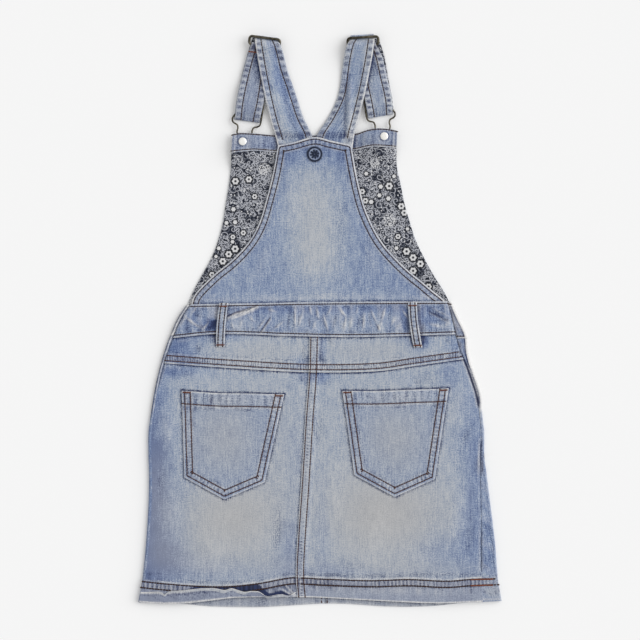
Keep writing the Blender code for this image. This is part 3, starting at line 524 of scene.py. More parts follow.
def lightDenim(name):
    # stonewashed right-hand twill, matt and dry: streaky along the warp, pale where it has rubbed
    look = denimLook
    material, tree, surface = startMaterial(name, 0.92, 0.18)
    cloth = addNode(tree, "UVMap", uv_map="cloth")
    wear, deep, fade, grey = (addNode(tree, "Attribute", out="Fac", attribute_name=key)
                              for key in ("wear", "deep", "fade", "grey"))
    slub = stretched(tree, cloth, 1.5, 17.0, 3.0, 0.6)
    weft = stretched(tree, cloth, 6.0, 1.4, 2.0, 0.55, 40.0)
    mottle = stretched(tree, cloth, 9.0, 13.0, 3.0, 0.6, 90.0)
    yarn = stretched(tree, cloth, 1.15, 1.3, 1.0, 0.5, 140.0)
    grain = addNode(tree, "Math", slub, look["slub"], operation="MULTIPLY")
    for noise, amount in ((weft, look["weft"]), (mottle, look["mottle"]), (yarn, look["yarn"])):
        grain = addNode(tree, "Math", noise, amount, grain, operation="MULTIPLY_ADD")
    tone = addNode(tree, "Math", fade, grain, operation="ADD")
    colour = addNode(tree, "ValToRGB", tone, colours=[(0.0, look["indigo"]), (1.0, look["faded"]),
                                                      (0.38, look["mid"]), (0.70, look["light"])])
    # the dark share turns navy for indigo kept and painted shade, and near black past 1.3 for deeper painted
    # shade
    kept = addNode(tree, "Math", grain, -1.2, deep, operation="MULTIPLY_ADD", use_clamp=True)
    dyed = addNode(tree, "Math", deep, 6.0, operation="MULTIPLY", use_clamp=True)
    kept = addNode(tree, "Math", kept, dyed, operation="MULTIPLY")
    gap = addNode(tree, "Math", deep, 1.3, operation="SUBTRACT", use_clamp=True)
    rub = addNode(tree, "Math", grain, 1.0, operation="ADD")
    rub = addNode(tree, "Math", rub, wear, operation="MULTIPLY", use_clamp=True)
    for ink, share in {"grey": grey, "kept": kept, "gap": gap, "rim": rub}.items():
        colour = addNode(tree, "Mix", share, out=2, inputs={6: colour, 7: look[ink]}, data_type="RGBA")
    shade = addNode(tree, "Math", grain, look["grain"], 1.0, operation="MULTIPLY_ADD")
    colour = addNode(tree, "VectorMath", colour, inputs={"Scale": shade}, operation="SCALE")
    lines = addNode(tree, "Mapping", cloth, None, (0.0, 0.0, math.radians(-28)),
                    (1 / look["twill"], 1 / look["twill"], 1.0))
    # a wave scale of 0.314 draws one line for each unit
    twill = addNode(tree, "TexWave", out="Fac", inputs={"Vector": lines, "Scale": 0.314, "Distortion": 1.4,
                                                        "Detail": 2.0, "Detail Scale": 2.0})
    height = addNode(tree, "Math", yarn, 1.2, addNode(tree, "Math", slub, 0.7, operation="MULTIPLY"),
                     operation="MULTIPLY_ADD")
    height = addNode(tree, "Math", twill, 0.5, height, operation="MULTIPLY_ADD")
    surface.inputs["Sheen Weight"].default_value = 0.12
    surface.inputs["Sheen Roughness"].default_value = 0.6
    finishMaterial(tree, surface, colour, height, 0.55, 0.00022)
    return material


printLook = {
    "ground": "#12151f", "ground2": "#232837", "sprig": "#b3b5bc", "bloom": "#d2d2d3", "leaf": "#646976",
}


def between(tree, value, low, high, soft):
    # 1 between low and high, with soft edges
    rise, fall = (addNode(tree, "MapRange", value, edge - soft, edge + soft, start, 1.0 - start,
                          interpolation_type="SMOOTHSTEP") for edge, start in ((low, 0.0), (high, 1.0)))
    return addNode(tree, "Math", rise, fall, operation="MULTIPLY")


def cellPlace(tree, cloth, size, shift):
    # the place inside one cell of an uneven grid: distance from its middle in mm, angle, two random numbers
    at = addNode(tree, "Mapping", cloth, (shift, shift * 0.7, 0.0), (0, 0, 0), (1 / size, 1 / size, 1.0))
    cells = addNode(tree, "TexVoronoi", out="Position", inputs={"Vector": at, "Scale": 1.0},
                    voronoi_dimensions="2D").node.outputs
    inside = addNode(tree, "VectorMath", at, cells["Position"], operation="SUBTRACT")
    parts = addNode(tree, "SeparateXYZ", inside).node.outputs
    chance = addNode(tree, "SeparateColor", cells["Color"]).node.outputs
    angle = addNode(tree, "Math", parts[1], parts[0], operation="ARCTAN2")
    away = addNode(tree, "Math", cells["Distance"], size, operation="MULTIPLY")
    return away, angle, chance[0], chance[1]


def curls(tree, cloth, size, shift, turns, thick):
    # a sprig curls round the middle of each cell, to the left in some and to the right in others
    away, angle, chance, other = cellPlace(tree, cloth, size, shift)
    spin = addNode(tree, "Math", chance, 6.28, angle, operation="MULTIPLY_ADD")
    hand = addNode(tree, "Math", other, 0.5, operation="GREATER_THAN")
    hand = addNode(tree, "Math", hand, 2.0, -1.0, operation="MULTIPLY_ADD")
    turned = addNode(tree, "Math", spin, hand, operation="MULTIPLY")
    wave = addNode(tree, "Math", addNode(tree, "Math", away, turns, turned, operation="MULTIPLY_ADD"),
                   operation="SINE")
    line, whole = between(tree, wave, thick, 2.0, 0.22), between(tree, away, -1.0, size * 0.62, 0.3)
    return addNode(tree, "Math", line, whole, operation="MULTIPLY")


def bloomShapes(tree, cloth):
    # each bloom's own middle is kept on the cloth as (x, y, size): small daisies, and larger speckled heads
    bloom = addNode(tree, "Attribute", out="Vector", attribute_name="bloom")
    x, y, size = addNode(tree, "SeparateXYZ", bloom).node.outputs
    away = addNode(tree, "VectorMath", addNode(tree, "CombineXYZ", x, y), out="Value", operation="LENGTH")
    away = addNode(tree, "Math", away, size, operation="DIVIDE")
    angle = addNode(tree, "Math", y, x, operation="ARCTAN2")
    small = addNode(tree, "Math", size, 5.0, operation="LESS_THAN")
    large = addNode(tree, "Math", size, 5.0, operation="GREATER_THAN")
    petals = addNode(tree, "Math", angle, 6.0, operation="MULTIPLY")
    petals = addNode(tree, "Math", petals, operation="COSINE")
    petals = addNode(tree, "Math", petals, 0.10, 0.90, operation="MULTIPLY_ADD")
    petals = addNode(tree, "Math", away, petals, operation="DIVIDE")
    daisy = between(tree, petals, 0.38, 1.0, 0.12)
    tiny = addNode(tree, "Math", size, 2.7, operation="LESS_THAN")
    bud = addNode(tree, "Math", between(tree, petals, -1.0, 0.95, 0.12), tiny, operation="MULTIPLY")
    daisy = addNode(tree, "Math", daisy, bud, operation="MAXIMUM")
    speck, _, _, _ = cellPlace(tree, cloth, 1.9, 33.0)
    head, whole = between(tree, speck, -1.0, 0.72, 0.2), between(tree, away, -1.0, 0.86, 0.14)
    head = addNode(tree, "Math", head, whole, operation="MULTIPLY")
    hollow = between(tree, away, -1.0, 1.42, 0.16)
    return [addNode(tree, "Math", shape, kind, operation="MULTIPLY")
            for shape, kind in ((hollow, small), (daisy, small), (head, large))]


def floralPrint(name):
    # plain-woven cotton, printed edge to edge: curling sprigs, small daisies and speckled blooms on ink blue
    material, tree, surface = startMaterial(name, 0.88, 0.2)
    cloth = addNode(tree, "UVMap", uv_map="cloth")
    mottle = addNode(tree, "Math", stretched(tree, cloth, 9.0, 9.0, 2.0), 0.5, operation="ADD")
    bare = between(tree, stretched(tree, cloth, 15.0, 15.0, 1.0, 0.5, 7.0), -0.10, 1.0, 0.05)
    fine = addNode(tree, "Math", curls(tree, cloth, 4.2, 0.0, 3.1, 0.26), bare, operation="MULTIPLY")
    away, _, chance, _ = cellPlace(tree, cloth, 3.6, 60.0)
    some = addNode(tree, "Math", chance, 0.80, operation="GREATER_THAN")
    dots = addNode(tree, "Math", between(tree, away, -1.0, 0.75, 0.16), some, operation="MULTIPLY")
    hollow, daisy, head = bloomShapes(tree, cloth)
    colour = printLook["ground"]
    layers = [(mottle, 1.0, "ground2"),
              (curls(tree, cloth, 6.6, 11.0, 1.9, 0.42), 0.55, "leaf"), (fine, 1.0, "sprig"),
              (curls(tree, cloth, 8.4, 25.0, 1.5, 0.74), 0.8, "sprig"), (dots, 1.0, "bloom"),
              (hollow, 0.90, "ground"), (daisy, 1.0, "bloom"), (head, 0.95, "bloom")]
    for shape, strength, ink in layers:
        share = addNode(tree, "Math", shape, strength, operation="MULTIPLY")
        colour = addNode(tree, "Mix", share, out=2, inputs={6: colour, 7: printLook[ink]}, data_type="RGBA")
    weave = stretched(tree, cloth, 0.8, 0.8, 1.0, 0.5, 21.0)
    finishMaterial(tree, surface, colour, weave, 0.4, 0.00015)
    return material


def sewingThread(name, dark, pale):
    # spun polyester topstitching: a dull round thread with a faint twist
    material, tree, surface = startMaterial(name, 0.7, 0.3)
    place = addNode(tree, "TexCoord", out="Object")
    shade = addNode(tree, "TexNoise", out="Fac", inputs={"Vector": place, "Scale": 260.0, "Detail": 2.0})
    twist = addNode(tree, "TexWave", out="Fac", inputs={"Vector": place, "Scale": 900.0, "Distortion": 2.0},
                    bands_direction="DIAGONAL")
    colour = addNode(tree, "Mix", shade, out=2, inputs={6: dark, 7: pale}, data_type="RGBA")
    finishMaterial(tree, surface, colour, twist, 0.4, 0.0001)
    return material


def platedMetal(name, dark, bright, roughness, metallic=1.0, spots=160.0):
    # plated steel wire or cap: an even metal, darker in spots where the plating has aged
    material, tree, surface = startMaterial(name, roughness)
    place = addNode(tree, "TexCoord", out="Object")
    age = addNode(tree, "TexNoise", out="Fac", inputs={"Vector": place, "Scale": spots, "Detail": 4.0,
                                                       "Roughness": 0.65})
    spread = addNode(tree, "MapRange", age, 0.35, 0.65)
    colour = addNode(tree, "Mix", spread, out=2, inputs={6: dark, 7: bright}, data_type="RGBA")
    fine = addNode(tree, "TexNoise", out="Fac", inputs={"Vector": place, "Scale": 1400.0, "Detail": 2.0})
    finishMaterial(tree, surface, colour, fine, 0.15, 0.0001)
    surface.inputs["Metallic"].default_value = metallic
    return material


denim = lightDenim("stonewashedDenim")
printed = floralPrint("printedCottonLining")
cloths = {"denim": denim, "print": printed}
brownThread = sewingThread("darkBrownTopstitchThread", "#2a1a18", "#3d2824")
russetThread = sewingThread("russetTopstitchThread", "#35201d", "#543630")
rustThread = sewingThread("rustBartackThread", "#5a3022", "#7d4630")
inkThread = sewingThread("inkEmbroideryThread", "#151c2c", "#2c3650")
antiqueBrass = platedMetal("antiqueBrassWire", "#33302a", "#706a5c", 0.45)
nickel = platedMetal("brightNickelCap", "#f0eee8", "#fbfaf6", 0.45, 0.45)
print("materials made")


# back skirt

backSkirt = {
    "pitch": 1.8, "width": 182, "length": 240,       # these set how many lines its grid has
    "hemRows": 56, "hemRounds": 4,
    "seamRows": (1.7, 8.7),        # centre-back rows, from the lapped edge
    "lapLine": -5.2,               # the lapped edge, from the centre-back line
    "fade": 0.775,
    # x, y, half width, half height, amount
    "wash": [
        (-193, -120, 16, 60, -0.62), (-194, -205, 22, 74, -0.8), (-192, -275, 26, 36, -0.52),
        (172, -150, 12, 40, -0.2), (-160, -56, 32, 8, -0.5), (-178, -80, 14, 22, -0.3),
        (-181, -141, 9, 13, -0.28), (-182, -127, 6, 7, 0.25), (-34, -248, 15, 40, -0.42),
        (-95, -278, 90, 13, -0.22), (-98, -222, 52, 38, 0.22), (-28, -140, 11, 50, -0.16),
        (-13, -61, 10, 8, -0.55), (3, -60, 9, 8, -0.55), (143, -60, 12, 26, -0.34),
        (168, -95, 14, 60, -0.28), (150, -135, 14, 24, -0.14), (170, -222, 17, 62, -0.46),
        (136, -256, 34, 26, -0.3), (64, -214, 58, 46, 0.2), (20, -276, 34, 9, -0.25),
        (95, -280, 70, 8, -0.12), (4, -230, 8, 50, -0.25), (176, -160, 10, 26, -0.15),
        (100, -67, 22, 10, -0.12), (-166, -256, 22, 22, -0.32), (-162, -212, 24, 60, -0.2),
        (-148, -266, 34, 20, -0.16), (-180, -170, 10, 60, -0.22), (-166, -130, 12, 40, -0.14)],
    "grey": [
        (-96, -217, 58, 42, 0.75), (70, -214, 66, 50, 0.85), (-60, -130, 60, 60, 0.3),
        (90, -120, 60, 60, 0.28), (-150, -262, 50, 26, 0.3), (-40, -272, 60, 18, 0.25),
        (100, -276, 90, 12, 0.25), (-178, -190, 16, 70, 0.3)],
    "kept": [
        (14, -280.4, 18, 1.8, 0.4), (128, -279.6, 40, 1.5, 0.26), (-184, -279.4, 10, 1.2, 0.4),
        (-128, -287.6, 14, 0.9, 0.3), (-90, -288, 14, 1, 0.22), (60, -280.6, 16, 1, 0.2),
        (-10, -292, 8, 9, 0.16), (166, -298, 0.7, 12, 0.3), (-9.5, -51, 5, 4, 0.7), (-4, -55, 4, 5, 0.5),
        (1, -52, 5, 3, 0.5), (-20, -50.5, 9, 1.4, 0.4), (120, -66, 14, 8, 0.1), (-150, -60, 12, 6, 0.12),
        (-46, -228, 3, 30, 0.1), (9, -288, 5, 9, 0.35)],
}
tuck = {   # the back hem's left half has rolled into a tuck: (x, level) of its ridge, then overlap and so on
    "ridge": [
        (-204, -298.4), (-194.4, -298.4), (-184, -297.9), (-177.5, -297.9), (-173, -300), (-171.2, -302.2),
        (-167.8, -298.8), (-162, -297.5), (-158, -297.6), (-149, -297.1), (-143, -296.2), (-138.6, -295.8),
        (-130.8, -294.8), (-123, -294.6), (-117, -294.5), (-112.7, -295.2), (-104.9, -296.7),
        (-100, -295.3), (-97.1, -294.6), (-90.6, -296.6), (-82.8, -298.7), (-77, -297.8), (-73.7, -297.8),
        (-69, -297.9), (-65.9, -298.9), (-59.4, -303.3), (-56.8, -304.2), (-50.4, -302.3), (-42.6, -301.3),
        (-38.7, -302.4), (-33.5, -304.1), (-27, -304.7), (-18, -304.9)],
    "overlap": [
        (-204, 0.6), (-150, 2.4), (-120, 5.2), (-98, 6), (-80, 4), (-66, 2), (-57, 0.8), (-48, 2.4),
        (-38, 2), (-28, 0.6), (-18, 0.4)],
    "height": [
        (-204, 0.9), (-150, 1.7), (-110, 2.2), (-80, 2.5), (-57, 2.8), (-42, 2.6), (-28, 1.2), (-18, 0.4)],
    "share": [(-206, 0.45), (-185, 0.7), (-150, 1), (-60, 1), (-36, 0.9), (-26, 0.35), (-18, 0)],
    "shaded": [
        (-146, 0), (-134, 2.8), (-100, 3.2), (-86, 7.5), (-72, 8), (-62, 5), (-54, 2.6), (-40, 2.6),
        (-26, 1.2)],
}
tuckRidge, tuckOverlap, tuckHeight, tuckShare = (smoothCurve(tuck[key]) for key in
                                                 ("ridge", "overlap", "height", "share"))
tuckEnd = -17.5
hemKnots = (0.0, 0.28, 0.44, 0.52, 0.60, 0.70, 1.0)
hemSew = {"rows": (16.4, 23.0), "gap": 6.6}      # from the edge, and the same gap as the sewing lays it
hemFolds = [[
    (-37, -292.4), (-32.4, -297.6), (-26, -303.2)], [(-41, -296.4), (-35.4, -300.4), (-28.6, -303)]]


def feltStrip(x, y):
    # the centre-back seam lies this much higher than the cloth beside it
    away = x - centreBack(y)
    return lie["lap"] * ease((away + 8.6) / 3.2) * ease((lie["lapEnd"] - away) / lie["lapRun"])


def skirtHeight(x, y, side):
    lap = lie["lap"] if side == "right" else 0.0
    return backBase(x, y) + lap * ease((lie["lapEnd"] - x + centreBack(y)) / lie["lapRun"])


def hemPath(x, t):
    # level and rise of the back hem below its upper row, at share t of the way to its edge
    weights = [smoothCurve([(k, float(k == knot)) for k in hemKnots])(t) for knot in hemKnots]
    row, edge, ridge = hemRow(x), backHem(x), tuckRidge(x)
    valley, high = ridge - tuckOverlap(x), tuckHeight(x)
    share = np.clip(tuckShare(x), 0.0, 1.0) * (x < tuckEnd)
    levels = [row, row - hemSew["gap"], valley, (valley + ridge) / 2, ridge, mix(ridge, edge, 0.3), edge]
    rises = [0.0, 0.0, 0.15, 0.5 * high + 0.3, 0.95 * high, high, 0.35 * high]
    level, rise = 0.0, 0.0
    for weight, knot, tucked, lift in zip(weights, hemKnots, levels, rises):
        level = level + weight * mix(row + (edge - row) * knot, tucked, share)
        rise = rise + weight * lift * share
    return level, rise


# how strongly each pressed side seam shows: levels, and strengths at them
seamStrength = {
    "left": ([-400, -78, -60, 0], [0.0, 0.05, 0.7, 1.0]),
    "right": ([-279, -274, -236, -226, -176, -158, -138, -128, -98, -91, -48, -37, 0],
              [0.0, 0.95, 0.85, 0.3, 0.3, 1.5, 1.5, 0.05, 0.05, 3.6, 3.2, 0.8, 0.7]),
}


def seamShown(y, side):
    return np.interp(y, *seamStrength[side])


def seamOver(y, side):
    # the back covers the seam where it is pressed flat
    steps = {"left": ((-72, 10, 1.2), (-284, 8, 1.6)), "right": ((-275, 4, 1.2),)}[side]
    return sum((rise * ease((level - y) / run) for level, run, rise in steps), -0.3)


def backCut(side, over):
    # the side edges of a back piece, whose side seam reaches over(y) past the pressed seam
    if side == "left":
        return lambda y: leftSeam(y) - over(y), lambda y: centreBack(y) + 1.5
    return lambda y: centreBack(y) + backSkirt["lapLine"], lambda y: rightSeam(y) + over(y)


def markCentre(look, x, y, side, under, **seam):
    # the right piece is lapped over the left one and sewn down
    lap = x - centreBack(y) - backSkirt["lapLine"]
    if side == "right":
        addSeam(look, np.abs(lap), -y + 0 * x, backSkirt["seamRows"], pitch=3.8, **seam)
    else:
        addShadeUnderLap(look, past(-lap), -y + 0 * x, *under)


def skirtSeamMarks(look, x, y, side):
    # centre-back seam, yoke lap, side seam and pocket edges, with painted shade beside the laps, in the side
    # seam's gap and above each pocket mouth
    markCentre(look, x, y, side, (31, 0.55), band=(3.4, 7.0), seed=21, blue=1.0,
               pucker=0.35 + 0.85 * hump(y + 130, 36) + 0.85 * ease((-236 - y) / 12))
    addShadeUnderLap(look, past(yokeSeam(x) + yokeSew["edge"] - y), x, 41, 1.25)
    seam, shown = fromSeam(x, y, side), seamShown(y, side)
    # painted shade in the side seam's gap, and a pale rim beside it
    look.deep += 0.55 * shown * hump(seam, 1.5)
    look.wear += 0.30 * np.minimum(shown, 1.4) * hump(seam - 2.2, 0.9)
    look.rise -= 0.6 * np.minimum(shown, 1.0) * hump(seam, 1.3)
    if side == "right":      # the hem is turned up over a join beside the seam
        look.deep += 0.45 * hump(x - 166.0, 0.7) * (y < hemRow(x))
    for name, pocket in pockets.items():
        addShadeUnderLap(look, *nearPath(pocketPath(pocket), x, y), 51, 0.85)
        mouth = runAcross(pocketTop(name), pocket["topLeft"][0], pocket["topRight"][0], -0.3)
        # painted shade on the skirt just above each pocket's mouth
        look.deep += hump(nearPath(mouth, x, y)[0] - 0.4, 1.0) * (y > mouth[:, 1].min() - 2)


def makeBackSkirt(side):
    left, right = backCut(side, lambda y: seamOver(y, side))
    across = stops(backSkirt["width"], backSkirt["pitch"])
    x, y = lattice(left, right, lambda x: yokeSeam(x) + 7.8, hemRow, across,
                   stops(backSkirt["length"], backSkirt["pitch"], end=edgeSteps[:6]))
    # the hem, row by row down its own path
    t = np.linspace(0.0, 1.0, backSkirt["hemRows"])[1:, None]
    hemX = np.repeat(x[-1:], len(t), 0)
    for _ in range(backSkirt["hemRounds"]):
        hemY, hemRise = hemPath(hemX, t)
        hemX = mix(left(hemY), right(hemY), across[:, 0]) + across[:, 1]
    gridX, gridY = np.concatenate([x, hemX]), np.concatenate([y, hemY])
    fromEdge = np.concatenate([lie["hemDepth"] + y - hemRow(x), (1.0 - t) * lie["hemDepth"] + 0 * hemX])
    look = freshLook(gridX, backSkirt["fade"])
    addPatches(look, gridX, gridY, fade=backSkirt["wash"], grey=backSkirt["grey"], deep=backSkirt["kept"])
    skirtSeamMarks(look, gridX, gridY, side)
    addCreases(look, gridX, gridY, backCreases, 0.22, 0.35)
    addSeam(look, fromEdge, gridX, hemSew["rows"], pitch=4.6, seed=61, pucker=1.1, roll=0.2, blue=0.8)
    inHem = ease((22.5 - fromEdge) / 1.5)
    look.fade -= inHem * (0.48 - 0.12 * patchy(gridX, fromEdge, 9, 5, 12))
    look.grey += 0.42 * inHem
    middle = sum(hemSew["rows"]) / 2
    addLines(look, fromEdge, gridX, wear=[(24.9, 0.9, 0.62, 0.4, 8.0, 66)], fade=[(middle, 3.4, -0.3)],
             deep=[(28.4, 1.4, 0.22, 0.5, 7.0, 69)] + [(row, 1.4, 0.34) for row in hemSew["rows"]])
    look.wear *= 1.0 - 0.45 * hump(fromEdge - middle, 2.6)
    look.wear += 0.45 * hump(fromEdge - 0.7, 0.8)
    look.wear += 0.24 * inHem * np.maximum(wobble(gridX, 2.6, 63), 0) * hump(fromEdge - 12.0, 4.0)
    look.deep += 0.18 * inHem * np.maximum(wobble(gridX, 3.2, 64), 0) * hump(fromEdge - 13.6, 2.0)
    look.rise += 0.35 * inHem + 0.22 * inHem * wobble(gridX, 6.0, 65) * hump(fromEdge - 5.0, 5.0)
    # pale folds, each with painted shade 2 mm to one side
    for fold in hemFolds:
        addLines(look, nearPath(np.array(fold), gridX, gridY)[0], wear=[(0, 0.8, 0.55)],
                 deep=[(2.0, 0.9, 0.35)])
    if side == "left":
        rolled = np.concatenate([0 * x, np.clip(tuckShare(hemX), 0.0, 1.0)])
        path = np.concatenate([0 * x, t + 0 * hemX])
        over = gridY - tuckRidge(gridX)
        # the tuck shades the cloth behind its ridge, up to this level over it
        shaded = np.interp(gridX, *zip(*tuck["shaded"]))
        navy = rolled * ease((gridX + 146) / 8) * ease((0.50 - path) / 0.02)
        navy = navy * ease((shaded + 1.2 - over) / 1.4) * (path > 0)
        look.deep += 1.55 * navy * (0.85 + 0.15 * wobble(gridX, 4.0, 70))
        look.grey += 0.45 * navy
        look.wear *= 1.0 - 0.92 * navy
        look.fade -= 0.4 * navy
        look.deep *= 1.0 - 0.85 * rolled * ease((path - 0.56) / 0.03)
        flap = rolled * ease((path - 0.64) / 0.04)
        look.deep += 0.45 * rolled * hump(path - 0.69, 0.035)
        look.fade -= flap * (0.30 + 0.16 * patchy(gridX, gridY, 7, 4, 71) + 0.30 * hump(gridX + 186, 22))
        look.fade += 0.22 * flap * hump(gridX + 92, 22)
        look.deep += 0.30 * flap * np.maximum(wobble(gridX + 2 * gridY, 3.4, 72), 0.0)
        look.wear += 2.2 * rolled * hump(path - 0.600, 0.042) * (0.85 + 0.15 * wobble(gridX, 3.0, 67))
    height = skirtHeight(gridX, gridY, side)
    outer = np.stack([gridX, gridY, height + look.rise], -1)
    outer[len(y):, :, 2] += hemRise
    # the inner face lies square to the outer one, so that the tuck keeps its thickness
    run = np.gradient(outer, axis=0)
    size = np.hypot(run[..., 1], run[..., 2])
    inner = outer.copy()
    thick = lie["wall"] + 0.15 * inHem
    inner[..., 1] -= thick * run[..., 2] / size
    inner[..., 2] += thick * run[..., 1] / size
    inner[:len(y)] = np.stack([x, y, height[:len(y)] - lie["wall"]], -1)
    cloth = np.stack([gridX, np.concatenate([y, hemRow(hemX) - t * lie["hemDepth"]])], -1)
    piece = wallMesh("backSkirt" + side.title(), outer, inner, look, cloth, insideLook)
    finishCloth(piece, "back_skirt_" + side, "denim", outer)


# back pockets

pockets = {
    "left": {"topLeft": (-152.2, -77.6), "topRight": (-39.3, -81.6), "lowLeft": (-149.4, -173.2),
             "lowRight": (-61.0, -178.6), "point": (-105.2, -197.4)},
    "right": {"topLeft": (24.4, -77.9), "topRight": (141.5, -75.0), "lowLeft": (37.6, -170.6),
              "lowRight": (126.2, -175.0), "point": (81.9, -194.6)},
}
pocketSew = {
    "rows": (3.4, 9.4), "hemRow": 14.2, "pitch": 1.7, "fade": 0.525, "step": 3.0,
    "dip": {"left": 1.6, "right": 1.4}, "seeds": {"left": (71, 91, 93), "right": (81, 96, 98)},
}


def pocketPath(pocket):
    # round the sewn edges, with the pocket on the right-hand side
    corners = [np.array(pocket[key]) for key in ("topRight", "lowRight", "point", "lowLeft", "topLeft")]
    points = []
    for a, b in zip(corners, corners[1:]):
        count = max(2, int(np.hypot(*(b - a)) / pocketSew["step"]))
        points += [mix(a, b, i / count) for i in range(count)]
    return np.array(points + [corners[-1]])


def lineRead(a, b, key):
    # a straight edge: y read from x with key 0, x read from y with key 1
    return lambda at: mix(a[1 - key], b[1 - key], (at - a[key]) / (b[key] - a[key]))


def pocketHeight(x, y, pocket):
    top = lineRead(pocket["topLeft"], pocket["topRight"], 0)(x) - y
    across = (x - pocket["topLeft"][0]) / (pocket["topRight"][0] - pocket["topLeft"][0])
    mouth = ease(1.0 - np.abs(across - 0.5) / 0.46) * ease(1.0 - top / 26.0)
    return backBase(x, y) + 1.05 + 0.45 * ease((14.6 - top) / 1.2) + 0.7 * mouth


def pocketTop(side):
    # the mouth sags a little between its corners
    a, b = pockets[side]["topLeft"], pockets[side]["topRight"]

    def read(x):
        share = np.clip((x - a[0]) / (b[0] - a[0]), 0, 1)
        sag = np.sin(np.pi * share) * (0.7 + 0.3 * np.sin(7 * share))
        return lineRead(a, b, 0)(x) - pocketSew["dip"][side] * sag

    return read


def makePocket(side):
    pocket = pockets[side]
    toPoint = lineRead(pocket["lowLeft"], pocket["point"], 0)
    fromPoint = lineRead(pocket["point"], pocket["lowRight"], 0)
    top = pocketTop(side)
    x, y = lattice(lineRead(pocket["topLeft"], pocket["lowLeft"], 1),
                   lineRead(pocket["topRight"], pocket["lowRight"], 1), top,
                   lambda x: np.maximum(toPoint(x), fromPoint(x)),
                   stops(100, pocketSew["pitch"]), stops(105, pocketSew["pitch"]))
    look = freshLook(x, pocketSew["fade"])
    middle = pocket["point"][0]
    addPatches(look, x, y, fade=[(middle, -135, 34, 40, 0.06)], grey=[(middle, -130, 44, 50, 0.50)])
    aside, along = nearPath(pocketPath(pocket), x, y, 60.0)
    rowSeed, hemSeed, streakSeed = pocketSew["seeds"][side]
    addSeam(look, aside, along, pocketSew["rows"], pitch=4.4, seed=rowSeed, pale=0.7, blue=0.45)
    fromTop = top(x) - y
    addSeam(look, fromTop, x, (pocketSew["hemRow"],), (0.5, 13.5), 7.5, hemSeed, 0.8, 0.5)
    look.deep += 0.30 * hump(fromTop - 18.4, 1.5) * np.maximum(wobble(x, 9.0, 94), 0.0)
    addLines(look, aside, deep=[(row, 1.1, 0.34) for row in pocketSew["rows"]])
    addLines(look, fromTop, deep=[(pocketSew["hemRow"], 1.1, 0.34)], wear=[(16.0, 0.8, 0.3)])
    streak = wobble(x + 0.15 * fromTop, 2.2, streakSeed)
    streaked = ease((13.0 - fromTop) / 3.0) * (0.35 + 0.65 * hump(x - middle + 6, 20))
    addRipples(look, -streak, 0.20 * streaked, 0.42 * streaked)
    look.wear -= 0.10 * (patchy(x, y, 18, 22, 5) < -0.2)
    look.rise += 0.22 * patchy(x, y, 26, 34, 6) * ease((aside - 10) / 8) * ease((fromTop - 15) / 8)
    layPanel("backPocket" + side.title(), "back_pocket_" + side, x, y, pocketHeight(x, y, pocket),
             backBase(x, y) + 0.15, look)


# yoke

yokeSew = {
    "rows": (3.1, 8.7), "edge": 0.8, "fade": 0.80,
    "wash": [
        (-158, -30, 26, 18, -0.66), (-150, -46, 26, 7, -0.5), (-112, -18, 30, 5, -0.4),
        (-20, -48, 14, 8, -0.35), (2.4, -34, 5, 15, -0.42), (60, -20, 60, 5, -0.12),
        (150, -32, 12, 16, -0.4), (104, -22, 14, 12, -0.3), (-70, -36, 50, 12, 0.06),
        (112, -46, 20, 5, -0.25), (113, -24, 8, 9, -0.6), (130, -44, 26, 5, -0.3)],
    "grey": [(60, -34, 50, 14, 0.3), (-60, -36, 50, 12, 0.25)],
    # the patches beside the belt loops, here and in wash, are painted shade
    "kept": [
        (-116.4, -15.6, 4, 1.8, 1), (-116, -21, 1.6, 7, 0.7), (-119.5, -19, 5, 6, 0.25),
        (113.4, -21, 2.2, 6, 1), (101.6, -20.5, 2.4, 6, 0.8), (0.4, -36, 2, 8, 0.5), (1, -13.6, 3, 3, 0.5),
        (10, -14.6, 9, 1.1, 0.5), (-16, -42.6, 3.4, 3, 0.4), (2.2, -44, 4, 4, 0.5), (-134, -31, 3, 5, 0.35),
        (-18, -34, 2, 7, 0.25)],
}


def yokeHeight(x, y, side):
    fromEdge = y - yokeSeam(x) - yokeSew["edge"]
    lap = lie["lap"] * ease((13.0 - fromEdge) / 5.0) + feltStrip(x, y) * ease((17.0 - fromEdge) / 6.0)
    return skirtHeight(x, y, side) + lap


def makeYoke(side):
    x, y = lattice(*backCut(side, lambda y: -0.3), lambda x: waistBottom(x) + 4.0,
                   lambda x: yokeSeam(x) + yokeSew["edge"], stops(160, 1.15), stops(44, 1.5, edgeSteps[:13]))
    look = freshLook(x, yokeSew["fade"])
    addPatches(look, x, y, fade=yokeSew["wash"], grey=yokeSew["grey"], deep=yokeSew["kept"])
    fromEdge = y - yokeSeam(x) - yokeSew["edge"]
    addSeam(look, fromEdge, x, yokeSew["rows"], (2.6, 9.2), 2.7, 101, 0.8, 1.0, blue=0.85)
    addLines(look, fromEdge, deep=[(row, 1.1, 0.3) for row in yokeSew["rows"]])
    # painted shade on the yoke beside each belt loop
    for loop in beltLoops.values():
        aside, _ = nearPath(np.array(loop), x, y)
        look.deep += 0.60 * hump(aside - 5.2, 1.3) * ease((y - loop[-1][1] + 1.5) / 2)
    markCentre(look, x, y, side, (32, 0.5), seed=22, pucker=0.7)
    addShadeUnderLap(look, past(waistBottom(x) - waistSew["under"] - y), x, 42, 1.15)
    addCreases(look, x, y, backCreases, 0.25, 0.4)
    # the side seam's groove, drawn dark as painted shade
    addLines(look, fromSeam(x, y, side), deep=[(0, 1.0, 0.5)], rise=[(0, 1.2, -0.6)])
    height = yokeHeight(x, y, side)
    layPanel("yoke" + side.title(), "yoke_" + side, x, y, height, height - lie["wall"], look)


# back waistband

